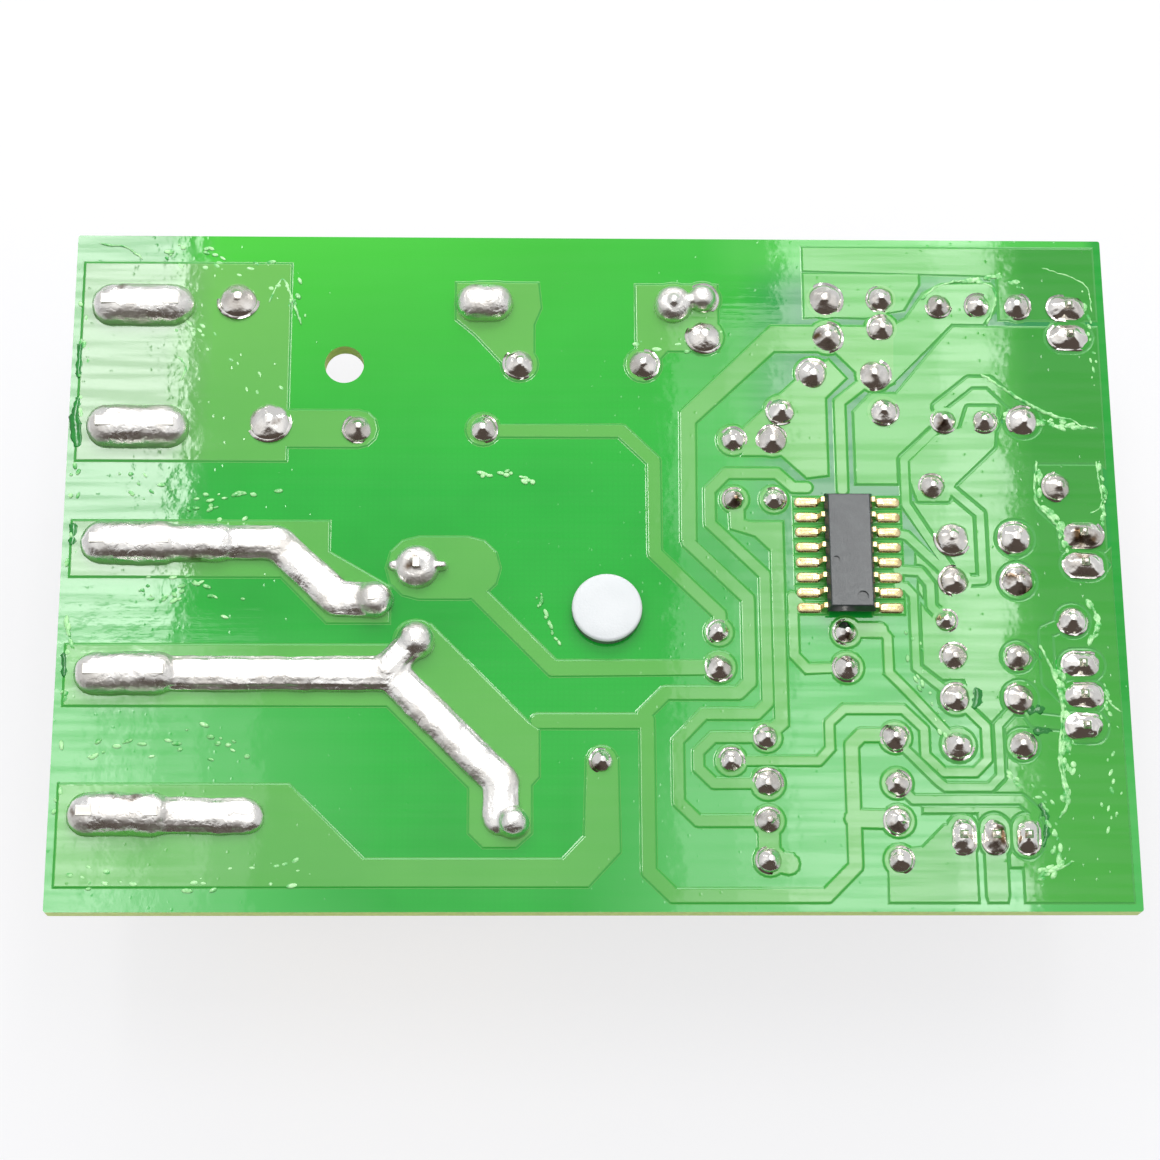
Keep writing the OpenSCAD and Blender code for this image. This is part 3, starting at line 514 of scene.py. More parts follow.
class Palette:
    """Every material of the board, each built once."""

    finishes = (
        Mask("board_mask", (22, 168, 48), (12, 150, 40), (192, 216, 108), (196, 200, 142),
             # Painted light: the first and third washes lighten the mask towards the top, a
             # reflection of the ceiling.
             (12, 150, 40), (Wash((62, 190, 44), (43, -34), (6, 28)),
                             Wash((26, 132, 66), (12, 17), (-7, 4)),
                             Wash((62, 178, 60), (9, 12), (23.5, 26.5)),
                             Wash((24, 150, 46), (41, 42), (-31, -30)),
                             Wash((56, 146, 62), (-31, -35), (-8, 3)),
                             Wash((60, 172, 72), (-16, -26), (-4, -14)),
                             Wash((70, 174, 80), (-2, 7), (-10, -20)))),
        # The fifth colour of each mask is the painted shade on the copper's slopes.
        Mask("copper_mask", (90, 172, 74), (80, 164, 68), (52, 134, 48), (120, 180, 90),
             # Painted light: the first wash lightens the copper's mask towards the top.
             (52, 158, 58), (Wash((100, 176, 74), (43, -34), (6, 28)),
                             Wash((92, 146, 82), (-31, -35), (-8, 3))), weave=0.08),
        Mask("copper_mask_deep", (72, 168, 62), (62, 158, 54), (52, 134, 48), (120, 180, 90),
             # Painted light: the first wash lightens this mask towards the top.
             (76, 162, 78), (Wash((86, 176, 66), (43, -34), (6, 28)),
                             Wash((48, 144, 46), (32.5, 36), (-36, 10))), weave=0.08),
        Solder("solder"),
        Solder("solder_clean", (240, 238, 234), (218, 214, 208), gloss=(0.26, 0.42),
               stained=0.64, creased=0.5),
        Solder("tinned_lead", (212, 208, 200), (182, 178, 170), gloss=(0.2, 0.36),
               stained=0.72),
        # Painted highlights and shade: clear flux coloured near white with strong dark green
        # patches.
        Plain("flux_resin_painted_highlights", (178, 234, 166), (62, 172, 72), 1500, (0.04, 0.14), 2600, 0.00002),
        # Dark green flux film: partly the flux's own tint, partly painted shade.
        Plain("flux_film_and_painted_shade", (12, 112, 34), (20, 132, 42), 900, (0.04, 0.1), 2600, 0.00001),
        Plain("flux_rim", (202, 208, 140), (176, 190, 104), 700, (0.1, 0.25), 3000, 0.00001),
        Plain("chip_plastic", (44, 49, 51), (54, 60, 61), 900, (0.12, 0.2), 9000, 0.000004),
        Plain("chip_lead_metal", (222, 205, 158), (196, 176, 124), 1500, (0.18, 0.34), 5200,
              0.000006, 1.0),
        # Painted shade: a dark grey-green for the side wall of the post's head.
        Plain("nylon_side_painted_shade", (112, 124, 114), (92, 104, 94), 260, (0.45, 0.6), 5000),
        Plain("white_nylon", (219, 222, 223), (213, 217, 218), 260, (0.38, 0.55), 5000),
        Plain("terminal_metal", (205, 203, 196), (186, 183, 175), 220, (0.3, 0.44), 2600,
              0.0000015, 1.0, streaky=True),
        Plain("sink_aluminium", (198, 200, 203), (180, 183, 187), 160, (0.34, 0.5), 2600,
              0.000004, 1.0, streaky=True),
        Plain("black_plastic", (30, 31, 33), (38, 39, 41), 500, (0.35, 0.52), 6000, 0.000015),
        Plain("tab_metal", (196, 194, 190), (172, 169, 164), 260, (0.26, 0.42), 3000,
              0.000003, 1.0, streaky=True),
        Plain("fastener_steel", (186, 184, 178), (160, 157, 150), 420, (0.2, 0.38), 3800,
              0.000006, 1.0),
        Plain("varistor_lacquer", (38, 92, 168), (30, 80, 150), 240, (0.2, 0.38), 1500,
              0.00004),
        Plain("yellow_box", (232, 196, 52), (222, 184, 44), 200, (0.3, 0.42), 4500, 0.00001),
        Plain("can_sleeve", (32, 44, 66), (26, 37, 57), 300, (0.16, 0.28), 2400, 0.000008),
        Plain("can_stripe", (206, 208, 210), (194, 196, 199), 300, (0.16, 0.28), 2400,
              0.000008),
        Plain("box_resin", (186, 150, 62), (170, 136, 54), 500, (0.2, 0.36), 1800, 0.00003),
        Plain("can_metal", (204, 205, 207), (186, 188, 190), 300, (0.24, 0.36), 3600,
              0.000006, 1.0),
        Plain("resistor_lacquer", (206, 184, 140), (196, 172, 126), 800, (0.24, 0.4), 3000,
              0.00002),
        Plain("red_box", (200, 62, 42), (188, 54, 36), 400, (0.22, 0.36), 3000, 0.00002),
        Plain("pin_metal", (214, 210, 198), (194, 189, 176), 500, (0.2, 0.34), 3800,
              0.000006, 1.0),
        Plain("header_plastic", (236, 231, 216), (228, 222, 205), 300, (0.38, 0.55), 4800,
              0.000012),
        Plain("band_brown", (104, 62, 36), (92, 54, 32), 900, (0.3, 0.42), 3000),
        Plain("band_black", (30, 28, 27), (38, 36, 34), 900, (0.3, 0.42), 3000),
        Plain("band_red", (178, 42, 34), (164, 38, 30), 900, (0.3, 0.42), 3000),
        Plain("band_orange", (226, 122, 40), (214, 110, 34), 900, (0.3, 0.42), 3000),
        Plain("band_gold", (190, 152, 76), (174, 138, 66), 900, (0.26, 0.36), 3000,
              metallic=0.6),
        Plain("diode_band", (200, 200, 196), (188, 188, 184), 900, (0.3, 0.42), 3000),
    )

    def __init__(self) -> None:
        """Builds all the finishes."""
        self.made = {finish.name: finish.build() for finish in self.finishes}

    def dress(self, piece: bpy.types.Object, *names: str) -> None:
        """Puts materials into a piece's slots, in order.

        Args:
            piece: The piece or CAD node.
            *names: The materials' names.
        """
        piece.data.materials.clear()
        for name in names:
            piece.data.materials.append(self.made[name])


# ---------------------------------------------------------------- modelling


@dataclass(frozen=True)
class Ring:
    """One ring of a turned shape.

    Attributes:
        x: Half width along X, mm.
        y: Half width along Y, mm.
        z: Height, mm.
    """

    x: float
    y: float
    z: float


def rounds(profile: Sequence[Span]) -> list[Ring]:
    """Turns a profile of radius and height into round rings."""
    return [Ring(radius, radius, z) for radius, z in profile]


class Bench:
    """The modelling bench: primitives shaped in edit mode, as by hand."""

    @staticmethod
    def clear() -> None:
        """Leaves edit mode and deselects everything."""
        if bpy.context.object and bpy.context.object.mode != "OBJECT":
            bpy.ops.object.mode_set(mode="OBJECT")
        bpy.ops.object.select_all(action="DESELECT")

    @classmethod
    def active(cls, piece: Piece) -> None:
        """Selects one piece alone and makes it the active one.

        Args:
            piece: The piece.
        """
        cls.clear()
        piece.select_set(True)
        bpy.context.view_layer.objects.active = piece

    @staticmethod
    def named(name: str) -> Piece:
        """Names the active object and its mesh.

        Args:
            name: The name.

        Returns:
            The object.
        """
        piece = bpy.context.object
        piece.name = piece.data.name = name
        return piece

    @staticmethod
    def pick_faces(piece: Piece, test: Callable[[Vector, Vector], bool]) -> None:
        """Selects the faces of a mesh in edit mode that pass a test.

        Args:
            piece: The piece.
            test: Says from a face's centre and normal whether it is picked.
        """
        mesh = bmesh.from_edit_mesh(piece.data)
        for item in (*mesh.verts, *mesh.edges, *mesh.faces):
            item.select = False
        for face in mesh.faces:
            if test(face.calc_center_median(), face.normal):
                face.select = True
        mesh.select_flush(True)
        bmesh.update_edit_mesh(piece.data)

    @classmethod
    def turned(cls, name: str, rings: Sequence[Ring], vertices: int = 28,
               stretch: float = 0.0) -> Piece:
        """Draws a closed shape up from a disc, ring by ring.

        Args:
            name: The piece's name.
            rings: The rings from the base up, in mm.
            vertices: Points round each ring.
            stretch: Straight length in mm let in between two half discs, along X.

        Returns:
            The piece, smooth shaded, still at the origin.
        """
        cls.clear()
        first = rings[0]
        bpy.ops.mesh.primitive_circle_add(vertices=vertices, radius=first.y * MM,
                                          fill_type="NGON", location=(0, 0, 0))
        piece = cls.named(name)
        bpy.ops.object.mode_set(mode="EDIT")
        if stretch:
            mesh = bmesh.from_edit_mesh(piece.data)
            for point in mesh.verts:
                point.co.x += math.copysign(stretch / 2 * MM, point.co.x)
            bmesh.update_edit_mesh(piece.data)
        bpy.ops.mesh.select_all(action="SELECT")
        width = first.y + stretch / 2
        bpy.ops.transform.resize(value=(first.x / width, 1, 1), center_override=(0, 0, 0))
        bpy.ops.transform.translate(value=(0, 0, first.z * MM))
        for low, high in zip(rings, rings[1:]):
            bpy.ops.mesh.extrude_region_move(
                TRANSFORM_OT_translate={"value": (0, 0, (high.z - low.z) * MM)})
            bpy.ops.transform.resize(value=(high.x / low.x, high.y / low.y, 1),
                                     center_override=(0, 0, high.z * MM))
        bpy.ops.mesh.select_all(action="SELECT")
        bpy.ops.mesh.normals_make_consistent(inside=False)
        bpy.ops.object.mode_set(mode="OBJECT")
        bpy.ops.object.shade_smooth()
        return piece

    @classmethod
    def block(cls, name: str, size: Sequence[float], centre: Sequence[float],
              bevel: float = 0.0, turn: float = 0.0) -> Piece:
        """Makes a box.

        Args:
            name: The piece's name.
            size: Lengths along X, Y and Z in mm.
            centre: Centre in mm.
            bevel: Radius of the edges in mm, or 0 for sharp ones.
            turn: Angle about Z in radians.

        Returns:
            The piece with its place in its mesh.
        """
        cls.clear()
        bpy.ops.mesh.primitive_cube_add(size=1, location=[c * MM for c in centre],
                                        scale=[s * MM for s in size], rotation=(0, 0, turn))
        piece = cls.named(name)
        cls.settle(piece)
        if bevel:
            bpy.ops.object.mode_set(mode="EDIT")
            bpy.ops.mesh.select_all(action="SELECT")
            bpy.ops.mesh.bevel(offset=bevel * MM, segments=2, affect="EDGES")
            bpy.ops.object.mode_set(mode="OBJECT")
        cls.shade(piece, 40)
        return piece

    @classmethod
    def wire(cls, name: str, points: Sequence[Sequence[float]], radius: float,
             swell: Sequence[float] = (), sides: int = 3) -> Piece:
        """Draws a round wire through points.

        Args:
            name: The piece's name.
            points: The points in mm.
            radius: The wire's radius in mm.
            swell: Share of the radius at each point, or nothing for an even wire.
            sides: Bevel resolution.

        Returns:
            The wire as a closed mesh.
        """
        curve = bpy.data.curves.new(name, "CURVE")
        curve.dimensions = "3D"
        curve.bevel_depth = radius * MM
        curve.bevel_resolution = sides
        curve.use_fill_caps = True
        line = curve.splines.new("POLY")
        line.points.add(len(points) - 1)
        for i, point in enumerate(points):
            line.points[i].co = (*[c * MM for c in point], 1.0)
            line.points[i].radius = swell[i] if swell else 1.0
        piece = bpy.data.objects.new(name, curve)
        bpy.context.collection.objects.link(piece)
        cls.active(piece)
        bpy.ops.object.convert(target="MESH")
        bpy.ops.object.mode_set(mode="EDIT")
        bpy.ops.mesh.select_all(action="SELECT")
        bpy.ops.mesh.remove_doubles(threshold=0.000001)
        bpy.ops.mesh.normals_make_consistent(inside=False)
        bpy.ops.object.mode_set(mode="OBJECT")
        bpy.ops.object.shade_smooth()
        return cls.named(name)

    @classmethod
    def lead(cls, name: str, points: Sequence[Sequence[float]], radius: float,
             slot: int) -> Piece:
        """Draws an even wire and gives its faces a material slot.

        Args:
            name: The wire's name.
            points: The points in mm.
            radius: The wire's radius in mm.
            slot: The slot's number.

        Returns:
            The wire.
        """
        wire = cls.wire(name, points, radius)
        for face in wire.data.polygons:
            face.material_index = slot
        return wire

    @staticmethod
    def slots(parts: Sequence[Piece], count: int) -> None:
        """Gives parts empty material slots, so that a join keeps the numbers of their faces.

        Args:
            parts: The parts.
            count: How many slots each gets.
        """
        for part in parts:
            part.data.materials.clear()
            for _ in range(count):
                part.data.materials.append(None)

    @classmethod
    def shade(cls, piece: Piece, angle: float) -> None:
        """Shades a piece smooth up to an angle in degrees."""
        cls.active(piece)
        bpy.ops.object.shade_smooth_by_angle(angle=math.radians(angle))

    @classmethod
    def settle(cls, piece: Piece) -> None:
        """Applies a piece's place, turn and scale to its mesh."""
        cls.active(piece)
        bpy.ops.object.transform_apply(location=True, rotation=True, scale=True)

    @classmethod
    def modify(cls, piece: Piece, kind: str, **settings: object) -> None:
        """Adds a modifier and applies it.

        Args:
            piece: The piece.
            kind: The modifier's type.
            **settings: Its settings.
        """
        cls.active(piece)
        modifier = piece.modifiers.new(kind.lower(), kind)
        for key, value in settings.items():
            setattr(modifier, key, value)
        bpy.ops.object.modifier_apply(modifier=modifier.name)

    @classmethod
    def lump(cls, piece: Piece, size: float, depth: float) -> None:
        """Makes a surface lumpy.

        Args:
            piece: The piece.
            size: Size of the lumps in mm.
            depth: Their height in mm.
        """
        clouds = bpy.data.textures.new(piece.name + "_lumps", "CLOUDS")
        clouds.noise_scale = size * MM
        clouds.noise_depth = 1
        cls.modify(piece, "DISPLACE", texture=clouds, strength=depth * MM, mid_level=0.5,
                   texture_coords="LOCAL")

    @staticmethod
    def copied(source: Piece, name: str, move: Matrix) -> Piece:
        """Copies a piece with its own mesh and moves the mesh.

        Args:
            source: The piece to copy.
            name: The copy's name.
            move: Where the mesh goes.

        Returns:
            The copy.
        """
        piece = source.copy()
        piece.data = source.data.copy()
        piece.name = piece.data.name = name
        piece.data.transform(move)
        bpy.context.collection.objects.link(piece)
        return piece

    @classmethod
    def joined(cls, name: str, pieces: Sequence[Piece]) -> Piece:
        """Joins pieces into one.

        Args:
            name: The new piece's name.
            pieces: The pieces, which are used up.

        Returns:
            The new piece.
        """
        cls.clear()
        for piece in pieces:
            piece.select_set(True)
        bpy.context.view_layer.objects.active = pieces[0]
        if len(pieces) > 1:
            bpy.ops.object.join()
        return cls.named(name)

    @staticmethod
    def drop(*pieces: Piece) -> None:
        """Deletes pieces that only served as patterns."""
        for piece in pieces:
            bpy.data.objects.remove(piece, do_unlink=True)


def place(at: Sequence[float], turn: float = 0.0, size: Sequence[float] = (1, 1, 1),
          tilt: Span = (0.0, 0.0)) -> Matrix:
    """Gives the matrix that scales, tilts, turns and moves a mesh.

    Args:
        at: Where to, in mm.
        turn: Angle about Z in radians.
        size: Scale along X, Y and Z.
        tilt: Angles about X and Y in radians.

    Returns:
        The matrix.
    """
    return (Matrix.Translation([c * MM for c in at]) @ Matrix.Rotation(turn, 4, "Z")
            @ Matrix.Rotation(tilt[0], 4, "X") @ Matrix.Rotation(tilt[1], 4, "Y")
            @ Matrix.Diagonal((*size, 1)))


def laid(high: float, axis: str) -> Matrix:
    """Gives the matrix that lays a turned shape on its side at a height in mm."""
    return (Matrix.Translation((0, 0, high * MM))
            @ Matrix.Rotation(math.pi / 2, 4, axis))


def hung(at: Point, angle: float = 0.0) -> Matrix:
    """Gives the matrix that hangs a mesh, built upwards, under the board."""
    return (Matrix.Translation((at[0] * MM, at[1] * MM, BOARD_Z * MM))
            @ Matrix.Rotation(math.radians(angle), 4, "Z") @ Matrix.Rotation(math.pi, 4, "X"))


def row(centre: Point, angle: float, pitch: float, count: int = 2) -> list[Point]:
    """Gives the places of a straight row of leads.

    Args:
        centre: Middle of the row, mm.
        angle: Its direction in degrees.
        pitch: Spacing of the leads, mm.
        count: Number of leads.

    Returns:
        The places in mm.
    """
    c, s = math.cos(math.radians(angle)), math.sin(math.radians(angle))
    steps = [(i - (count - 1) / 2) * pitch for i in range(count)]
    return [(centre[0] + step * c, centre[1] + step * s) for step in steps]


@dataclass
class Assembly:
    """A group of pieces that is modelled on the bench and dressed from the palette.

    Attributes:
        palette: The board's materials.
    """

    palette: Palette

    def hand_in(self, piece: Piece, slot: str, nodes: Sequence[str], *finishes: str) -> None:
        """Dresses a piece, hangs it on the root body and hides the CAD nodes that it replaces.

        Args:
            piece: The piece.
            slot: Not used.
            nodes: The CAD nodes that it replaces, if any.
            *finishes: The materials of its slots, in order.
        """
        self.palette.dress(piece, *finishes)
        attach(piece, "root")
        if nodes:
            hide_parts(*nodes)
        LOG.info("%s: %d faces", piece.name, len(piece.data.polygons))


# ---------------------------------------------------------------- solder side


@dataclass
class Joint:
    """One solder joint.

    Attributes:
        at: Place in mm.
        radius: Radius on the board in mm.
        half: Half of the straight length of a drawn-out joint.
        turn: Direction of its length in degrees.
    """

    at: Point
    radius: float
    half: float = 0.0
    turn: float = 0.0


@dataclass
class SolderJoints(Assembly):
    """The domes of solder round the cut leads.

    Attributes:
        profile: Radius and height of a joint of radius 1, from the board to the cut lead.
        flange: Height up to which the brown flux round a joint reaches, mm.
        pin_pitch: Spacing of the header pins, mm.
        header_half: Half of the straight length of a header pin's joint, mm.
        middle: X from and up to which a joint belongs to the middle group, mm.
        axial: Centre, direction, pitch and two joint radii of each two-lead part.
        headers: Centre, direction, number of pins and joint radius of each header.
    """

    profile: tuple = (
        (1.2, 0.0), (1.2, 0.02), (1.05, 0.03), (1.03, 0.07), (0.96, 0.18), (0.86, 0.29),
        (0.74, 0.4), (0.61, 0.51), (0.48, 0.61), (0.38, 0.69), (0.29, 0.765), (0.24, 0.82),
        (0.17, 0.845), (0.05, 0.85))
    flange: float = 0.029
    pin_pitch: float = 2.54
    header_half: float = 0.55
    middle: Span = (-12.0, 25.0)
    axial: tuple = (
        ((14.2, 22.8), 0, 10.16, 1.2, 1.3), ((14.3, 19.5), 0, 10.16, 1.3, 1.2),
        ((-0.9, 17.0), 0, 10.16, 1.15, 1.15), (left(28.5, 11.3), 0, 10.16, 1.1, 1.05),
        (right(13.8, 17.25), 90, 10.16, 0.95, 0.95),
        (right(10.5, 17.25), 90, 10.16, 0.95, 0.95),
        (right(7.3, 17.25), 90, 10.16, 1.15, 1.05), ((15.0, -5.8), 0, 10.16, 0.85, 0.95),
        ((15.0, -8.7), 0, 10.16, 1.0, 1.0), ((5.6, -16.3), 0, 10.16, 0.85, 0.95),
        ((18.6, -14.4), 0, 10.16, 0.9, 1.0), ((18.6, -18.1), 0, 10.16, 1.05, 0.95),
        ((18.6, -21.1), 0, 10.16, 0.95, 1.0), ((18.6, -24.2), 0, 10.16, 0.95, 0.95),
        (right(9.9, 6.5), 0, 10.16, 1.0, 1.1), (right(9.3, -4.8), 0, 10.16, 0.85, 1.05),
        ((19.6, 13.0), 0, 8.4, 1.1, 1.1),
        ((20.6, 16.2), 0, 5.08, 1.2, 1.2), ((14.6, 7.9), 90, 5.08, 0.85, 1.1),
        ((11.4, 7.9), 90, 5.08, 0.85, 1.0), (right(11.0, 2.1), 0, 5.08, 1.25, 1.2),
        (right(11.0, -1.5), 0, 5.08, 1.15, 1.2), (right(11.3, -7.8), 0, 5.08, 1.05, 0.95),
        (right(11.3, -11.2), 0, 5.08, 1.1, 1.1), (right(11.3, -15.0), 0, 5.08, 1.1, 1.0),
        (left(14.8, 17.2), -75, 11.0, 1.5, 1.5), ((23.9, 21.6), 90, 2.6, 1.05, 1.05),
    )
    headers: tuple = (
        (right(3.1, 20.9), 90, 2, 1.05), (right(3.0, 1.2), 90, 2, 1.0),
        (right(3.7, -11.0), 90, 3, 0.95), (right(11.3, -22.3), 0, 3, 0.9),
    )

    def pattern(self, half: float, sides: int, lumps: float, depth: float) -> Piece:
        """Models a joint of radius 1, whose low flange has the next material slot.

        Args:
            half: Half of its straight length, mm.
            sides: Points round it.
            lumps: Size of its lumps, mm.
            depth: Their height, mm.

        Returns:
            The joint, at the origin.
        """
        rings = [Ring(r + half * max(0.0, 1 - z) ** 0.6, r, z) for r, z in self.profile]
        piece = Bench.turned("joint_pattern", rings, sides, 2 * half)
        Bench.slots([piece], 2)
        for face in piece.data.polygons:
            if face.center.z < self.flange * MM:
                face.material_index = 1
        Bench.lump(piece, lumps, depth)
        return piece

    def all(self) -> list[Joint]:
        """Lists every joint with its place.

        Returns:
            The joints of the two-lead parts, then those of the headers.
        """
        found = []
        for centre, turn, pitch, *radii in self.axial:
            found += [Joint(at, r) for at, r in zip(row(centre, turn, pitch), radii)]
        for centre, turn, count, radius in self.headers:
            found += [Joint(at, radius, self.header_half, turn + 90)
                      for at in row(centre, turn, self.pin_pitch, count)]
        return found

    def build(self) -> None:
        """Models four round joints and two long ones, and copies them to every place."""
        rng = random.Random(7)
        patterns = {
            False: [self.pattern(0.0, 32, 0.7 + 0.12 * i, 0.15) for i in range(4)],
            True: [self.pattern(self.header_half, 36, 0.6 + 0.15 * i, 0.19)
                   for i in range(2)]}
        groups: dict[str, list[Piece]] = {"left": [], "middle": [], "right": []}
        for joint in self.all():
            x, (low, high) = joint.at[0], self.middle
            group = "right" if x > high else "left" if x < low else "middle"
            source = rng.choice(patterns[joint.half > 0])
            turn = math.radians(joint.turn) + rng.choice((0, math.pi))
            if not joint.half:
                turn += rng.uniform(0, math.tau)
            wide = joint.radius * rng.uniform(0.97, 1.04)
            high = (0.8 + 0.2 * joint.radius) * rng.uniform(0.9, 1.0)
            tilt = (rng.uniform(-0.11, 0.11), rng.uniform(-0.11, 0.11))
            groups[group].append(Bench.copied(source, "joint", place(
                (*joint.at, FOIL_Z - 0.03), turn, (wide, wide, high), tilt)))
        Bench.drop(*patterns[False], *patterns[True])
        for group, pieces in groups.items():
            self.hand_in(Bench.joined(f"joints_{group}", pieces), "solder",
                         [f"solder_{group}"], "solder", "flux_rim")


@dataclass(frozen=True)
class Dab:
    """A rounded dab of solder.

    Attributes:
        at: Place, mm.
        radius: Radius, mm.
        high: Height, mm.
        half: Half of its straight length along X, mm.
    """

    at: Point
    radius: float
    high: float
    half: float = 0.0

    def set_down(self) -> list[Piece]:
        """Turns the dab and moves it to its place.

        Returns:
            The dab, alone in a list.
        """
        high = self.high
        profile = ((1.0, -0.25), (1.0, 0.12 * high), (0.94, 0.4 * high), (0.8, 0.64 * high),
                   (0.6, 0.83 * high), (0.35, 0.95 * high), (0.1, high))
        rings = [Ring(r * self.radius + self.half * (0.75 + 0.25 * r), r * self.radius, z)
                 for r, z in profile]
        piece = Bench.turned("dab", rings, 32, 2 * self.half)
        piece.data.transform(place((*self.at, FOIL_Z)))
        return [piece]


@dataclass(frozen=True)
class Bead:
    """A straight bead of solder with rounded ends.

    Attributes:
        start: Place of one end, mm.
        end: Place of the other, mm.
        width: Width on the board, mm.
        high: Height, mm.
    """

    start: Point
    end: Point
    width: float
    high: float

    def set_down(self) -> list[Piece]:
        """Stacks three blocks of falling width and rounds the ends with dabs.

        Returns:
            The blocks and the dabs.
        """
        (x, y), (end_x, end_y) = self.start, self.end
        turn = math.atan2(end_y - y, end_x - x)
        parts = []
        for share, low, top in ((1.0, -0.25, 0.5 * self.high),
                                (0.72, 0.2 * self.high, 0.84 * self.high),
                                (0.4, 0.5 * self.high, self.high)):
            size = (math.dist(self.start, self.end), share * self.width, top - low)
            centre = ((x + end_x) / 2, (y + end_y) / 2, FOIL_Z + (top + low) / 2)
            parts.append(Bench.block("bead", size, centre, turn=turn))
        for at in (self.start, self.end):
            parts += Dab(at, self.width / 2, self.high).set_down()
        return parts


@dataclass
class SolderPours(Assembly):
    """The thick solder on the blades' joints and on the bare power tracks.

    Attributes:
        width: Width of a tinned track, mm.
        voxel: Size of the cells that melt the parts of a pour together, mm.
        blade_x: Place of the blades, mm.
        blade_y: Places of the five blades along the edge, mm.
        gate: Place of the gate's joint, mm.
        far: Place of the joint where the third blade's track ends, mm.
        near: Place of the joint where the fourth blade's short branch ends, mm.
        film: Places of the film capacitor's two joints, mm.
        spare: Place of the joint that runs into the second of them, mm.
    """

    width: float = 2.9
    voxel: float = 0.15
    blade_x: float = -37.0
    blade_y: tuple = (22.0, 11.4, 1.5, -9.3, -20.6)
    gate: Point = left(28.3, -0.45)
    far: Point = left(24.8, -3.2)
    near: Point = left(28.3, -6.55)
    film: tuple[Point, Point] = tuple(row((-0.9, 22.3), 0, 15.2))
    spare: Point = (9.12, 22.8)

    def melt(self, name: str, strokes: Sequence[Dab | Bead], lumps: float = 0.2,
             voxel: float | None = None) -> None:
        """Melts dabs and beads into one skin, smooths it and makes it lumpy.

        Args:
            name: The piece's name.
            strokes: The dabs and beads.
            lumps: Height of the lumps, mm.
            voxel: Size of the cells, mm, or the usual one.
        """
        piece = Bench.joined(name, [part for stroke in strokes for part in stroke.set_down()])
        Bench.modify(piece, "REMESH", mode="VOXEL", voxel_size=(voxel or self.voxel) * MM)
        Bench.modify(piece, "SMOOTH", factor=0.5, iterations=8)
        Bench.lump(piece, 2.4, lumps)
        Bench.lump(piece, 0.8, 0.3 * lumps)
        bpy.ops.object.shade_smooth()
        self.hand_in(piece, "solder", ["power_solder"], "solder_clean")

    def bars(self) -> list[list[Dab | Bead]]:
        """Lists what each blade's joint has beside its own two dabs, tracks included.

        Returns:
            The dabs and beads of each joint, in the order of the blades.
        """
        x, wide = self.blade_x, self.width
        one, two, three, four, five = self.blade_y
        return [
            [Dab((-34.4, one + 0.05), 1.8, 1.25)],
            [Dab((-34.6, two - 0.1), 1.75, 1.15)],
            [Bead((x, three), left(17.2, 1.5), wide, 0.95),
             Bead(left(17.2, 1.5), left(22.0, -3.1), wide, 0.75),
             Bead(left(22.0, -3.1), self.far, wide, 0.8),
             Dab((self.far[0] + 0.2, self.far[1]), 1.5, 1.5),
             Dab((-31.5, three), 1.6, 1.35, 1.6)],
            [Bead((x, four), left(26.4, four), wide, 0.85),
             Bead(left(26.4, four), left(35.1, -18), wide, 0.75),
             Bead(left(35.1, -18), left(35.1, -20.9), wide, 0.7),
             Bead(left(26, -9), self.near, 2.5, 1.0),
             Dab(self.near, 1.55, 1.5),
             Dab(left(36.05, -21.3), 1.3, 1.5)],
            [Bead((x, five), left(15.3, -20.8), wide, 0.95)]]

    def build(self) -> None:
        """Melts the five blade joints with their tracks, and the joints beside them."""
        for number, (y, more) in enumerate(zip(self.blade_y, self.bars()), 1):
            blade = [Dab((self.blade_x + 0.1, y), 1.78, 1.62, 2.4),
                     Dab((self.blade_x - 2.3, y), 1.7, 1.35)]
            self.melt(f"solder_bar_{number}", blade + more)
        (x, y), (first, second) = self.gate, self.film
        self.melt("solder_gate", [
            Dab((x, y), 1.8, 1.2), Dab((x, y), 0.85, 1.45),
            Bead((x, y), (x + 2.2, y + 0.05), 0.75, 0.8),
            Bead((x, y), (x - 1.9, y + 0.1), 0.9, 0.6)], 0.16, 0.1)
        self.melt("solder_film_1", [Dab((first[0] - 0.4, first[1]), 1.62, 1.5, 0.75)],
                  voxel=0.11)
        self.melt("solder_film_2", [
            Dab(second, 1.6, 1.2), Dab(second, 0.8, 1.45), Dab(self.spare, 1.15, 1.2),
            Bead(second, self.spare, 1.3, 0.9)], voxel=0.1)


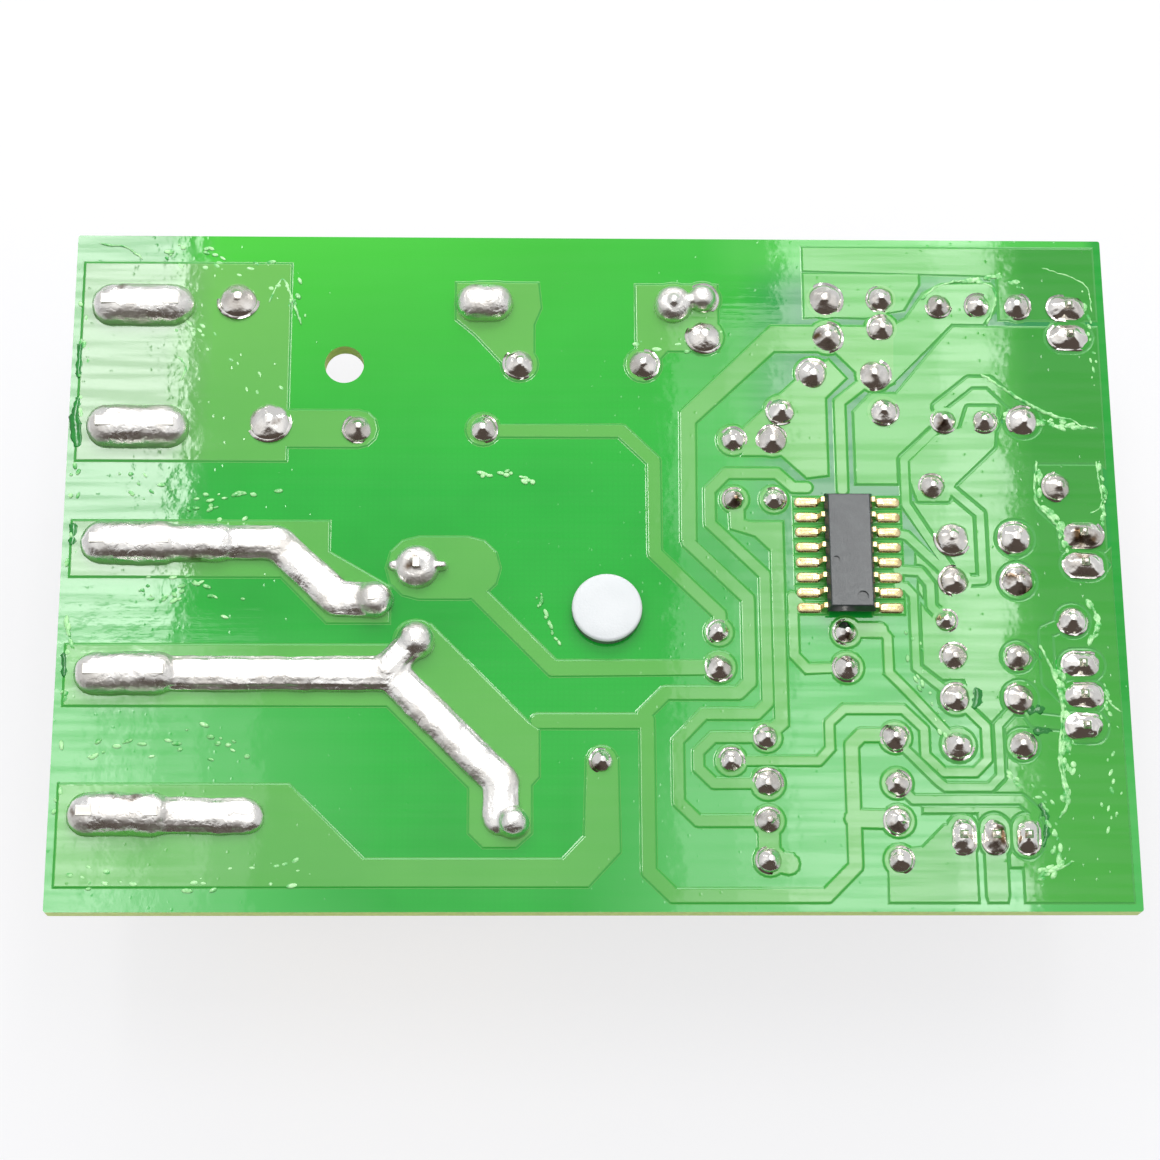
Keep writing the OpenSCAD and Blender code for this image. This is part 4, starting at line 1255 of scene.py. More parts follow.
@dataclass
class Chip(Assembly):
    """The sixteen-lead chip with its solder.

    Attributes:
        at: Centre, mm.
        size: Width, length and height of the body, mm.
        base: Height of the body's underside, mm.
        edge: Radius of the body's edges, mm.
        leans: How much narrower the top and the underside are than the middle, mm.
        marks: Place from the centre, radius and depth of the dimple and ejector mark, mm.
        leads: Number of leads on each side.
        pitch: Spacing of the leads, mm.
        foot: Distance of the solder on the feet from the centre line, mm.
        bead: Half widths and heights of the solder on a foot, mm.
    """

    at: Point = (20.5, 0.65)
    size: tuple[float, float, float] = (3.9, 9.9, 1.45)
    base: float = FOIL_Z + 0.15
    edge: float = 0.07
    leans: tuple = ((1, 0.54), (-1, 0.26))
    marks: tuple = ((0.85, -3.9, 0.45, 0.17), (-1.2, -0.85, 0.3, 0.12))
    leads: int = 8
    pitch: float = 1.27
    foot: float = 3.27
    bead: tuple = (Ring(1.02, 0.43, 0.0), Ring(1.02, 0.43, 0.03), Ring(0.98, 0.4, 0.08),
                   Ring(0.86, 0.33, 0.13), Ring(0.68, 0.22, 0.17), Ring(0.4, 0.08, 0.19))

    def body(self) -> None:
        """Moulds the body: leaning sides, soft edges, a dimple and an ejector mark."""
        wide, long, high = self.size
        middle = (*self.at, self.base + high / 2)
        piece = Bench.block("chip_moulding", self.size, middle)
        centre = [c * MM for c in middle]
        bpy.ops.object.mode_set(mode="EDIT")
        bpy.ops.mesh.select_all(action="SELECT")
        bpy.ops.mesh.bisect(plane_co=(0, 0, centre[2]), plane_no=(0, 0, 1))
        for side, lean in self.leans:
            Bench.pick_faces(piece, lambda c, n, side=side: n.z * side > 0.9)
            bpy.ops.transform.resize(value=(1 - lean / wide, 1 - lean / long, 1),
                                     center_override=centre)
        bpy.ops.mesh.select_all(action="SELECT")
        bpy.ops.mesh.bevel(offset=self.edge * MM, segments=3, affect="EDGES")
        bpy.ops.object.mode_set(mode="OBJECT")
        for x, y, radius, deep in self.marks:
            bpy.ops.mesh.primitive_cylinder_add(
                vertices=32, radius=radius * MM, depth=1 * MM,
                location=((self.at[0] + x) * MM, (self.at[1] + y) * MM,
                          (self.base + high + 0.5 - deep) * MM))
            cutter = Bench.named("dimple_cutter")
            Bench.settle(cutter)
            Bench.modify(piece, "BOOLEAN", operation="DIFFERENCE", object=cutter,
                         solver="EXACT")
            Bench.drop(cutter)
        Bench.shade(piece, 40)
        Bench.modify(piece, "WEIGHTED_NORMAL", keep_sharp=True)
        self.hand_in(piece, "chip_plastic", ["chip_body"], "chip_plastic")

    def fillets(self) -> None:
        """Sets a small bead of solder on every foot."""
        pattern = Bench.turned("foot_pattern", self.bead, 24, 1.18)
        Bench.lump(pattern, 0.5, 0.04)
        beads = []
        for side in (-1, 1):
            column = row((self.at[0] + side * self.foot, self.at[1]), 90, self.pitch,
                         self.leads)
            beads += [Bench.copied(pattern, "foot", place((*at, FOIL_Z - 0.005),
                                                          math.pi * (side < 0)))
                      for at in column]
        Bench.drop(pattern)
        self.hand_in(Bench.joined("chip_fillets", beads), "solder", ["chip_solder"],
                     "chip_lead_metal")

    def build(self) -> None:
        """Makes the body and the solder on its feet."""
        self.body()
        self.fillets()


@dataclass
class Post(Assembly):
    """The nylon post whose round head clips through the board.

    Attributes:
        at: Place, mm.
        profile: Radius and height from the foot up to the head, mm.
        side: Heights between which the head's side gets a darker material as painted shade,
            mm.
    """

    at: Point = (1.0, -4.0)
    profile: tuple = (
        (2.0, 0.0), (2.2, 0.2), (2.7, 0.8), (2.7, 18.8), (2.9, 19.0), (3.6, 19.2),
        (3.6, 19.98), (2.0, 19.99), (2.0, 21.605), (2.74, 21.61), (2.8, 21.68),
        (2.8, 22.36), (2.77, 22.47), (2.68, 22.56), (2.55, 22.6), (1.4, 22.605),
        (0.2, 22.6))
    side: Span = (21.6, 22.3)

    def build(self) -> None:
        """Turns the post from its foot up to its head."""
        piece = Bench.turned("post_moulding", rounds(self.profile), 64)
        piece.data.transform(place((*self.at, 0)))
        Bench.shade(piece, 35)
        # The head's side, between the heights of side, wears the painted shade.
        self.hand_in(piece, "white_nylon", ["support_post"], "white_nylon", "nylon_side_painted_shade")
        band_faces(piece, [self.side])


@dataclass
class FluxSpecks(Assembly):
    """Drops and strings of clear flux left on the board, pale with dark patches: painted
    highlights and shade.

    Attributes:
        drop: Radius and height of a drop of radius 1.
        reach: Half sizes of the board within which drops lie, mm.
        strings: Lines of residue: points, number of drops, spread and size, mm.
    """

    drop: tuple = ((1, 0), (0.94, 0.22), (0.7, 0.42), (0.32, 0.52))
    reach: Point = (42.1, 27.9)
    strings: tuple = (
        (((-41.9, 27), (-41.6, 15), (-41.9, 5), (-41.5, -8), (-42, -20)), 46, 0.5, 0.16),
        (((-35, 27), (-30, 25.5), (-25, 24.5), (-24.5, 21)), 34, 1.2, 0.16),
        (((-33, 20), (-29, 17), (-26.5, 13.5)), 22, 1.3, 0.14),
        (((-38, 7), (-32, 4.4), (-27, 5)), 26, 1.5, 0.14),
        (((-36, -3), (-32, -2.2), (-28, -4)), 24, 1.2, 0.15),
        (((-40, -16), (-33, -14.5), (-26, -16)), 22, 1.3, 0.15),
        (((-40, -25.5), (-30, -26), (-22, -25)), 26, 1.2, 0.16),
        (((-9.5, 7.4), (-7, 7.7), (-5, 6.8)), 14, 0.3, 0.17),
        (((-4.5, -2.8), (-3.6, -5), (-2.8, -7.3)), 14, 0.25, 0.13),
        (((3.5, 19), (7, 18.4), (11, 20)), 12, 0.5, 0.15),
        (((31, 24.5), (34, 25), (35.6, 24)), 30, 0.3, 0.16),
        (((33.5, 12.6), (36.8, 12.2), (40.5, 11.6)), 30, 0.35, 0.2),
        (((36.3, 8), (36.5, 5), (37.8, 3.2), (38, 1)), 30, 0.3, 0.2),
        (((41.2, 8.5), (41.6, 6), (41.2, 3.4)), 16, 0.15, 0.18),
        (((39.8, -3.2), (40.4, -5), (39.6, -6.6)), 16, 0.15, 0.2),
        (((37, -9), (37.5, -14), (36.9, -19.5)), 60, 0.45, 0.2),
        (((32, -17.5), (35.5, -19.5), (36.2, -24.5), (34, -26)), 50, 0.5, 0.18),
        (((40.5, 24.5), (41.3, 20), (41.4, 14)), 22, 0.4, 0.14),
        (((40.6, -10), (41, -14), (40.5, -22)), 26, 0.6, 0.14),
        (((25, -5), (26, -10), (29, -17)), 22, 0.8, 0.13),
    )

    def build(self) -> None:
        """Models one drop and scatters copies along the strings."""
        rng = random.Random(21)
        drop = Bench.turned("drop_pattern", rounds(self.drop), 10)
        drops = []
        for points, count, spread, size in self.strings:
            for _ in range(count):
                share = rng.uniform(0, len(points) - 1.001)
                a, b = points[int(share)], points[int(share) + 1]
                t = share % 1
                x = a[0] + (b[0] - a[0]) * t + rng.gauss(0, spread / 2)
                y = a[1] + (b[1] - a[1]) * t + rng.gauss(0, spread / 2)
                if abs(x) > self.reach[0] or abs(y) > self.reach[1]:
                    continue
                wide = size * rng.uniform(0.5, 1.3)
                way = math.atan2(b[1] - a[1], b[0] - a[0]) + rng.uniform(-0.5, 0.5)
                drops.append(Bench.copied(drop, "drop", place(
                    (x, y, FOIL_Z - 0.04), way,
                    (wide * rng.uniform(1.0, 2.6), wide, wide * 0.8))))
        Bench.drop(drop)
        # The drops wear the resin's painted highlights and shade.
        self.hand_in(Bench.joined("flux_drops", drops), "solder", [], "flux_resin_painted_highlights")


@dataclass
class FluxStrings(Assembly):
    """Drawn-out strings and wet smears of flux between the joints; the smears' dark green is
    partly painted shade.

    Attributes:
        raised: Clear strings in the pale resin of painted highlights: points in mm, then the
            radius.
        wet: Dark wet smears, partly painted shade: points in mm, then the radius.
        raised_flat: Height of a clear string as a share of its width.
        wet_flat: The same of a smear.
        step: Spacing of the points along a string, mm.
        waver: How far a point strays to each side, mm.
    """

    raised: tuple = (
        (((27.3, 22.9), (29, 24.2), (31.5, 24.6), (33.3, 24.0), (33.4, 22.5), (32.6, 20.6)),
         0.12),
        (((32, 16.3), (34.5, 14.5), (36.4, 13.3), (38, 12.6), (39.4, 12.3), (40.0, 11.7),
          (41.3, 11.6)), 0.15),
        (((36.1, 8.8), (35.9, 5.4), (37.3, 3.5), (38.4, 1.7)), 0.13),
        (((41.0, 8.8), (41.2, 6.5), (41.2, 4.9), (40.2, 4.2)), 0.1),
        (((37.5, 25.8), (40, 24.9), (41.2, 24), (41.5, 21.7)), 0.07),
        (((35.6, -6.8), (36.6, -9.5), (37.1, -11.8), (36.7, -15.5), (37.2, -19)), 0.16),
        (((37.3, -13.2), (36.6, -16.4), (37.0, -19.6), (36.2, -21.0)), 0.12),
        (((34.8, -25.2), (36.0, -24.9), (37.3, -24.3)), 0.12),
        (((40.5, -10.5), (41.0, -11.7), (41.8, -12.3)), 0.09),
        (((39.8, -3.2), (40.3, -4.9), (39.6, -6.6)), 0.11),
        (((-40.7, 27.5), (-38.5, 27.2), (-37.1, 26.1)), 0.07),
        (((-26.6, 22.3), (-25.6, 24.4), (-24.9, 23.2), (-23.9, 20.4)), 0.1),
        (((-34.0, 17.6), (-33.2, 16.6), (-33.6, 15.4)), 0.1),
    )
    wet: tuple = (
        (((-41.7, 14), (-42.0, 12.2), (-41.6, 9.6)), 0.42),
        (((-41.8, 18.6), (-41.9, 17), (-41.8, 15.6)), 0.3),
        (((-41.6, 3.2), (-41.7, 1.2)), 0.34),
        (((-41.9, -7.6), (-41.7, -9.6)), 0.26),
        (((34.9, -19.6), (35.3, -20.8), (35.2, -22.4), (34.8, -23.2)), 0.34),
        (((29.9, -12.1), (30.4, -11.2), (30.2, -10.2)), 0.42),
        (((34.0, -11.3), (34.6, -12.2), (35.8, -12.0)), 0.4),
        (((34.6, -13.8), (36.2, -13.9)), 0.36),
    )
    raised_flat: float = 0.7
    wet_flat: float = 0.14
    step: float = 0.28
    waver: float = 0.035

    def draw(self, name: str, lines: Sequence, flat: float, rng: random.Random) -> Piece:
        """Draws each line as an uneven half-sunk string.

        Args:
            name: The piece's name.
            lines: The lines: points in mm, then the radius.
            flat: Height as a share of the width.
            rng: The source of the unevenness.

        Returns:
            The strings as one piece.
        """
        strings = []
        for points, radius in lines:
            rows, swell = [], []
            for i in range(len(points) - 1):
                before = Vector(points[max(i - 1, 0)])
                a, b = Vector(points[i]), Vector(points[i + 1])
                after = Vector(points[min(i + 2, len(points) - 1)])
                count = max(3, round((b - a).length / self.step))
                for k in range(count + (i == len(points) - 2)):
                    t = k / count
                    spot = 0.5 * (2 * a + (b - before) * t
                                  + (2 * before - 5 * a + 4 * b - after) * t ** 2
                                  + (3 * a - before - 3 * b + after) * t ** 3)
                    rows.append((spot.x + rng.gauss(0, self.waver),
                                 spot.y + rng.gauss(0, self.waver), 0.0))
                    swell.append(rng.uniform(0.45, 1.25))
            swell[0] = swell[-1] = 0.25
            strings.append(Bench.wire(name, rows, radius, swell, 2))
        piece = Bench.joined(name, strings)
        piece.data.transform(place((0, 0, FOIL_Z - 0.02), size=(1, 1, flat)))
        return piece

    def build(self) -> None:
        """Draws the clear strings and the wet smears."""
        rng = random.Random(5)
        for name, lines, flat, finish in (
                ("flux_strings", self.raised, self.raised_flat, "flux_resin_painted_highlights"),
                ("flux_smears", self.wet, self.wet_flat, "flux_film_and_painted_shade")):
            self.hand_in(self.draw(name, lines, flat, rng), "solder", [], finish)


# ---------------------------------------------------------------- component side


def band_faces(piece: Piece, spans: Sequence[Span]) -> None:
    """Gives the faces within each span of height, in mm, the next material slot."""
    for face in piece.data.polygons:
        for number, (low, high) in enumerate(spans, 1):
            if low < face.center.z / MM < high:
                face.material_index = number


@dataclass
class AxialParts(Assembly):
    """Resistors and the diode, each between two bent leads.

    Attributes:
        bend: Bend radius of the leads, mm.
        wire: Radius of the leads, mm.
        gap: Air between a body and the board, mm.
        resistor: Radius and height of the resistor's body, end caps and waist, mm.
        bands: Spans of its colour bands, mm.
        resistor_half: Half of the distance between its leads, mm.
        diode: Radius and height of the diode's body, mm.
        ring: Span of its ring, mm.
        diode_half: Half of the distance between its leads, mm.
        codes: Colour bands that the resistors wear in turn.
    """

    bend: float = 0.8
    wire: float = 0.3
    gap: float = 0.3
    resistor: tuple = (
        (0.62, -2.8), (0.95, -2.72), (1.07, -2.55), (1.1, -2.3), (1.1, -2.15),
        (1.1, -1.65), (1.08, -1.5), (0.95, -1.25), (0.93, -1.0), (0.93, -0.55),
        (0.93, -0.2), (0.93, 0.25), (0.93, 1.0), (0.95, 1.25), (1.08, 1.5),
        (1.1, 1.7), (1.1, 2.15), (1.1, 2.3), (1.07, 2.55), (0.95, 2.72), (0.62, 2.8))
    bands: tuple = ((-2.15, -1.65), (-1.0, -0.55), (-0.2, 0.25), (1.7, 2.15))
    resistor_half: float = 5.08
    diode: tuple = (
        (0.9, -2.3), (1.18, -2.26), (1.25, -2.15), (1.25, -1.85), (1.25, -1.3),
        (1.25, 2.15), (1.18, 2.26), (0.9, 2.3))
    ring: Span = (-1.85, -1.3)
    diode_half: float = 4.2
    codes: tuple = (
        ("band_brown", "band_black", "band_orange"), ("band_red", "band_red", "band_brown"),
        ("band_orange", "band_orange", "band_black"), ("band_brown", "band_red", "band_red"),
        ("band_red", "band_black", "band_brown"),
    )

    def model(self, name: str, profile: Sequence[Span], sides: int, bands: Sequence[Span],
              half: float) -> Piece:
        """Models a body on its side, with a lead bent out of each end.

        Args:
            name: The piece's name.
            profile: Radius and height of the body, mm.
            sides: Points round the body.
            bands: Spans of its bands, mm.
            half: Half of the distance between the leads, mm.

        Returns:
            The part at the origin, with slots for body, bands and leads.
        """
        high = max(radius for radius, _ in profile) + self.gap
        body = Bench.turned(name, rounds(profile), sides)
        band_faces(body, bands)
        body.data.transform(laid(high, "Y"))
        Bench.slots([body], len(bands) + 2)
        leads = []
        for side in (1, -1):
            arc = [(side * (half - self.bend + self.bend * math.sin(a)), 0.0,
                    high - self.bend + self.bend * math.cos(a))
                   for a in (i * math.pi / 12 for i in range(7))]
            leads.append(Bench.lead("lead", [(side * 2.0, 0.0, high), *arc,
                                             (side * half, 0.0, LEAD_END)],
                                    self.wire, len(bands) + 1))
        return Bench.joined(name, [body, *leads])

    def build(self) -> None:
        """Models one resistor and copies it to its sixteen places, then the diode."""
        pattern = self.model("resistor_pattern", self.resistor, 28, self.bands,
                             self.resistor_half)
        for i, (centre, turn, *_) in enumerate(SolderJoints.axial[:16]):
            piece = Bench.copied(pattern, f"banded_resistor_{i + 1}",
                                 hung(centre, turn + 180 * (i % 2)))
            self.hand_in(piece, "resistor_lacquer", [f"resistor_{i + 1}"], "resistor_lacquer",
                         *self.codes[i % len(self.codes)], "band_gold", "tinned_lead")
        Bench.drop(pattern)
        diode = self.model("diode_moulding", self.diode, 32, [self.ring], self.diode_half)
        diode.data.transform(hung(SolderJoints.axial[16][0]))
        self.hand_in(diode, "black_plastic", ["diode"], "black_plastic", "diode_band",
                     "tinned_lead")


@dataclass
class BoxPart(Assembly):
    """A boxed capacitor: rounded case, resin in its open underside, two leads.

    Attributes:
        size: Length, thickness and height, mm.
        pitch: Lead spacing, mm.
        lead: Lead radius, mm.
        edge: Radius of the case's edges, mm.
        finish: Material of the case.
        foot: Height of the feet that hold the case off the board, mm.
    """

    size: tuple[float, float, float]
    pitch: float
    lead: float
    edge: float
    finish: str
    foot: float = 0.4

    def model(self) -> Piece:
        """Models the capacitor as it hangs, at the origin.

        Returns:
            The piece, with slots for case, resin and leads.
        """
        long, thick, high = self.size
        foot = self.foot
        case = Bench.block("box_pattern", (long, thick, high - foot),
                           (0, 0, (high + foot) / 2))
        bpy.ops.object.mode_set(mode="EDIT")
        Bench.pick_faces(case, lambda c, n: n.z < -0.9)
        bpy.ops.mesh.inset(thickness=0.12 * thick * MM, depth=0)
        bpy.ops.mesh.inset(thickness=0.02 * MM, depth=-0.3 * MM)
        bpy.ops.object.mode_set(mode="OBJECT")
        for face in case.data.polygons:
            if face.normal.z < -0.9 and foot + 0.15 < face.center.z / MM < foot + 0.5:
                face.material_index = 1
        Bench.modify(case, "BEVEL", width=self.edge * MM, segments=4, limit_method="ANGLE",
                     angle_limit=math.radians(60))
        Bench.shade(case, 40)
        parts = [case]
        for side in (-1, 1):
            x = side * self.pitch / 2
            parts.append(Bench.block("foot", (0.9, thick * 0.8, foot + 0.2), (
                side * (long / 2 - 0.75), 0, (foot + 0.2) / 2), 0.08))
            parts.append(Bench.lead("lead", [(x, 0, foot + 0.6), (x, 0, LEAD_END)],
                                    self.lead, 2))
        Bench.slots(parts, 3)
        return Bench.joined("box_pattern", parts)

    def build(self, *places: tuple[str, str, Point, float]) -> None:
        """Models the part once and hangs a copy at each place.

        Args:
            *places: Name of the piece, its CAD node, place in mm and turn in degrees.
        """
        pattern = self.model()
        for name, node, at, turn in places:
            self.hand_in(Bench.copied(pattern, name, hung(at, turn)), self.finish, [node],
                         self.finish, "box_resin", "tinned_lead")
        Bench.drop(pattern)


@dataclass
class Varistor(Assembly):
    """The dipped disc whose lacquer runs a little way down its leads.

    Attributes:
        at: Place, mm.
        turn: Direction of its face in degrees.
        radius: Radius of the disc, mm.
        thick: Its thickness, mm.
        lift: Air between the disc and the board, mm.
        crown: Radius and height of a disc of radius 1 and half thickness 1.
        sleeve: Radius and height of the lacquer round a lead, mm.
        half: Half of the distance between the leads, mm.
        lead: Lead radius, mm.
    """

    at: Point = left(14.8, 17.2)
    turn: float = -75.0
    radius: float = 7.0
    thick: float = 4.4
    lift: float = 2.2
    crown: tuple = (
        (0.3, -1), (0.62, -1), (0.78, -0.97), (0.9, -0.8), (0.97, -0.5), (1.0, 0.0),
        (0.97, 0.5), (0.9, 0.8), (0.78, 0.97), (0.62, 1), (0.3, 1))
    sleeve: tuple = ((0.42, 0.7), (0.55, 0.95), (0.75, 1.9), (1.05, 3.2), (1.3, 5.0),
                     (0.9, 6.6))
    half: float = 5.5
    lead: float = 0.4

    def build(self) -> None:
        """Models the disc, its leads and the lacquer round them."""
        disc = Bench.turned("varistor_disc", rounds(
            [(r * self.radius, z * self.thick / 2) for r, z in self.crown]), 56)
        disc.data.transform(laid(self.lift + self.radius, "X"))
        parts = [disc]
        for x in (-self.half, self.half):
            sleeve = Bench.turned("lacquer_sleeve", rounds(self.sleeve), 20)
            sleeve.data.transform(place((x, 0, 0)))
            wire = Bench.lead("lead", [(x, 0, 2.0), (x, 0, LEAD_END)], self.lead, 1)
            parts += [sleeve, wire]
        Bench.slots(parts, 2)
        piece = Bench.joined("varistor_disc", parts)
        piece.data.transform(hung(self.at, self.turn))
        self.hand_in(piece, "varistor_lacquer", ["varistor"], "varistor_lacquer",
                     "tinned_lead")


@dataclass
class Can(Assembly):
    """The smoothing capacitor: sleeved can with a scored metal end.

    Attributes:
        at: Place, mm.
        radius: Radius of the can, mm.
        high: Its height, mm.
        foot: Steps in from the radius, and heights, of the bung and the groove, mm.
        rim: The same of the end, with heights below its top, mm.
        stripe: Half of the angle that the stripe takes, radians.
        half: Half of the distance between the leads, mm.
        lead: Lead radius, mm.
    """

    at: Point = (23.9, 21.6)
    radius: float = 4.0
    high: float = 20.0
    foot: tuple = (
        (1.1, 0.55), (0.8, 0.5), (0.75, 0.2), (0.5, 0.1), (0.12, 0.15), (0, 0.4), (0, 1.5),
        (0.2, 1.75), (0.42, 2.1), (0.42, 2.45), (0.2, 2.8), (0, 3.1))
    rim: tuple = ((0, 0.5), (0.08, 0.2), (0.3, 0.04), (0.7, 0.03), (0.75, 0.15), (3.5, 0.15))
    stripe: float = 0.36
    half: float = 1.3
    lead: float = 0.3

    def build(self) -> None:
        """Models the bung, the groove, the sleeve, the stripe and the end."""
        can = Bench.turned("can", rounds(
            [(self.radius - step, z) for step, z in self.foot]
            + [(self.radius - step, self.high - z) for step, z in self.rim]), 48)
        for face in can.data.polygons:
            c = face.center / MM
            if c.z > self.high - 0.3 and math.hypot(c.x, c.y) < self.radius - 0.45:
                face.material_index = 1
            elif 3.0 < c.z < self.high - 1 and abs(math.atan2(c.y, -c.x)) < self.stripe:
                face.material_index = 2
        Bench.slots([can], 4)
        leads = [Bench.lead("can_lead", [(0, y, 1.0), (0, y, LEAD_END)], self.lead, 3)
                 for y in (-self.half, self.half)]
        piece = Bench.joined("sleeved_can", [can, *leads])
        piece.data.transform(hung(self.at))
        self.hand_in(piece, "can_sleeve", ["smoothing_can", "smoothing_leads"], "can_sleeve",
                     "can_metal", "can_stripe", "tinned_lead")


@dataclass
class HeaderPins(Assembly):
    """Square pins of the plug headers, pointed at both ends.

    Attributes:
        side: Width of a pin, mm.
        reach: How far a pin stands below the board, mm.
        point: Length of its pointed ends, mm.
        taper: Width of a point as a share of the pin's.
    """

    side: float = 0.64
    reach: float = 11.2
    point: float = 0.35
    taper: float = 0.45

    def build(self) -> None:
        """Models one pin and sets a copy in every place."""
        pin = Bench.block("pin_pattern", (self.side, self.side, self.reach - LEAD_END),
                          (0, 0, (self.reach + LEAD_END) / 2))
        bpy.ops.object.mode_set(mode="EDIT")
        for end, sign in ((LEAD_END, -1), (self.reach, 1)):
            Bench.pick_faces(pin, lambda c, n, sign=sign: n.z * sign > 0.9)
            bpy.ops.mesh.extrude_region_move(
                TRANSFORM_OT_translate={"value": (0, 0, sign * self.point * MM)})
            bpy.ops.transform.resize(value=(self.taper, self.taper, 1),
                                     center_override=(0, 0, end * MM))
        bpy.ops.object.mode_set(mode="OBJECT")
        pin.data.transform(place((0, 0, -self.point)))
        Bench.modify(pin, "BEVEL", width=0.06 * self.side * MM, segments=2,
                     limit_method="ANGLE", angle_limit=math.radians(30))
        pins = [Bench.copied(pin, "pin", hung(at, turn))
                for centre, turn, count, _ in SolderJoints.headers
                for at in row(centre, turn, SolderJoints.pin_pitch, count)]
        Bench.drop(pin)
        piece = Bench.joined("square_pins", pins)
        Bench.shade(piece, 30)
        self.hand_in(piece, "pin_metal", ["header_pins"], "pin_metal")


@dataclass
class CopperRelief(Assembly):
    """The copper under the mask, whose lacquer slopes softly down to the laminate.

    Attributes:
        steps: Fall and reach of each step of the slope, mm.
        finish: The material of each area of copper.
    """

    steps: tuple = ((0.008, 0.05), (0.024, 0.06), (0.026, 0.06), (0.012, 0.07))
    finish: dict[str, str] = field(default_factory=lambda: {
        "copper_power": "copper_mask", "copper_middle": "copper_mask",
        "copper_right": "copper_mask_deep"})

    @staticmethod
    def spread(piece: Piece, reach: float) -> None:
        """Moves the selected rim outwards, and not far where it has a sharp corner.

        Args:
            piece: The piece, in edit mode.
            reach: How far it moves, mm.
        """
        reach *= MM
        mesh = bmesh.from_edit_mesh(piece.data)
        rim = [(vertex, vertex.co.copy()) for vertex in mesh.verts if vertex.select]
        bpy.ops.transform.shrink_fatten(value=reach, use_even_offset=True)
        for vertex, start in rim:
            way = vertex.co - start
            if way.length > 1.5 * reach:
                vertex.co = start + way * (1.5 * reach / way.length)
        bmesh.update_edit_mesh(piece.data)

    def build(self) -> None:
        """Copies each area's top face and draws the slope out round it."""
        for area, finish in self.finish.items():
            piece = Bench.copied(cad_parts[area], f"{area}_relief", Matrix.Identity(4))
            Bench.active(piece)
            bpy.ops.mesh.customdata_custom_splitnormals_clear()
            bpy.ops.object.mode_set(mode="EDIT")
            bpy.ops.mesh.select_all(action="SELECT")
            bpy.ops.mesh.remove_doubles(threshold=0.000001)
            bpy.ops.mesh.normals_make_consistent(inside=False)
            bpy.ops.mesh.select_mode(type="FACE")
            Bench.pick_faces(piece, lambda c, n: n.z > 0.9)
            bpy.ops.mesh.select_all(action="INVERT")
            bpy.ops.mesh.delete(type="FACE")
            bpy.ops.mesh.select_all(action="SELECT")
            bpy.ops.mesh.remove_doubles(threshold=0.02 * MM)
            bpy.ops.mesh.dissolve_limited(angle_limit=math.radians(1))
            for fall, reach in self.steps:
                bpy.ops.mesh.select_mode(type="EDGE")
                bpy.ops.mesh.select_all(action="DESELECT")
                bpy.ops.mesh.select_non_manifold(
                    extend=False, use_wire=False, use_boundary=True,
                    use_multi_face=False, use_non_contiguous=False, use_verts=False)
                bpy.ops.mesh.extrude_edges_move(
                    TRANSFORM_OT_translate={"value": (0, 0, -fall * MM)})
                self.spread(piece, reach)
            bpy.ops.mesh.select_mode(type="FACE")
            Bench.pick_faces(piece, lambda c, n: n.z < 0.6)
            bpy.ops.mesh.delete(type="ONLY_FACE")
            bpy.ops.object.mode_set(mode="OBJECT")
            bpy.ops.object.shade_flat()
            self.hand_in(piece, "copper_mask", [area], finish)


# ---------------------------------------------------------------- CAD nodes


@dataclass
class Nodes(Assembly):
    """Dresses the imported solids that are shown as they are.

    Attributes:
        finishes: The material of each node.
        softened: Radius of the soft edges of the nodes that have them, mm.
    """

    finishes: dict[str, str] = field(default_factory=lambda: {
        "laminate": "board_mask",
        "chip_leads": "chip_lead_metal", "heat_sink": "sink_aluminium",
        "triac_case": "black_plastic", "triac_tab": "tab_metal",
        "triac_leads": "tinned_lead", "clamp_screw": "fastener_steel",
        "clamp_nut": "fastener_steel",
        **{f"blade_terminal_{i}": "terminal_metal" for i in range(1, 6)},
        **{f"header_{i}": "header_plastic" for i in range(1, 5)},
    })
    softened: dict[str, float] = field(default_factory=lambda: {
        "chip_leads": 0.03, "heat_sink": 0.15, "triac_case": 0.15, "triac_tab": 0.08,
        "clamp_nut": 0.12,
        **{f"header_{i}": 0.12 for i in range(1, 5)},
        **{f"blade_terminal_{i}": 0.07 for i in range(1, 6)},
    })

    def build(self) -> None:
        """Gives every shown node its material and soft edges."""
        for name, finish in self.finishes.items():
            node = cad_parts[name]
            self.palette.dress(node, finish)
            if name in self.softened:
                weld = node.modifiers.new("weld", "WELD")
                weld.merge_threshold = 0.000002
                soft = node.modifiers.new("soft_edges", "BEVEL")
                soft.width = self.softened[name] * MM
                soft.segments = 2
                soft.limit_method = "ANGLE"
                soft.angle_limit = math.radians(35)
                soft.harden_normals = True
            LOG.info("%s dressed in %s", name, finish)


# ---------------------------------------------------------------- studio


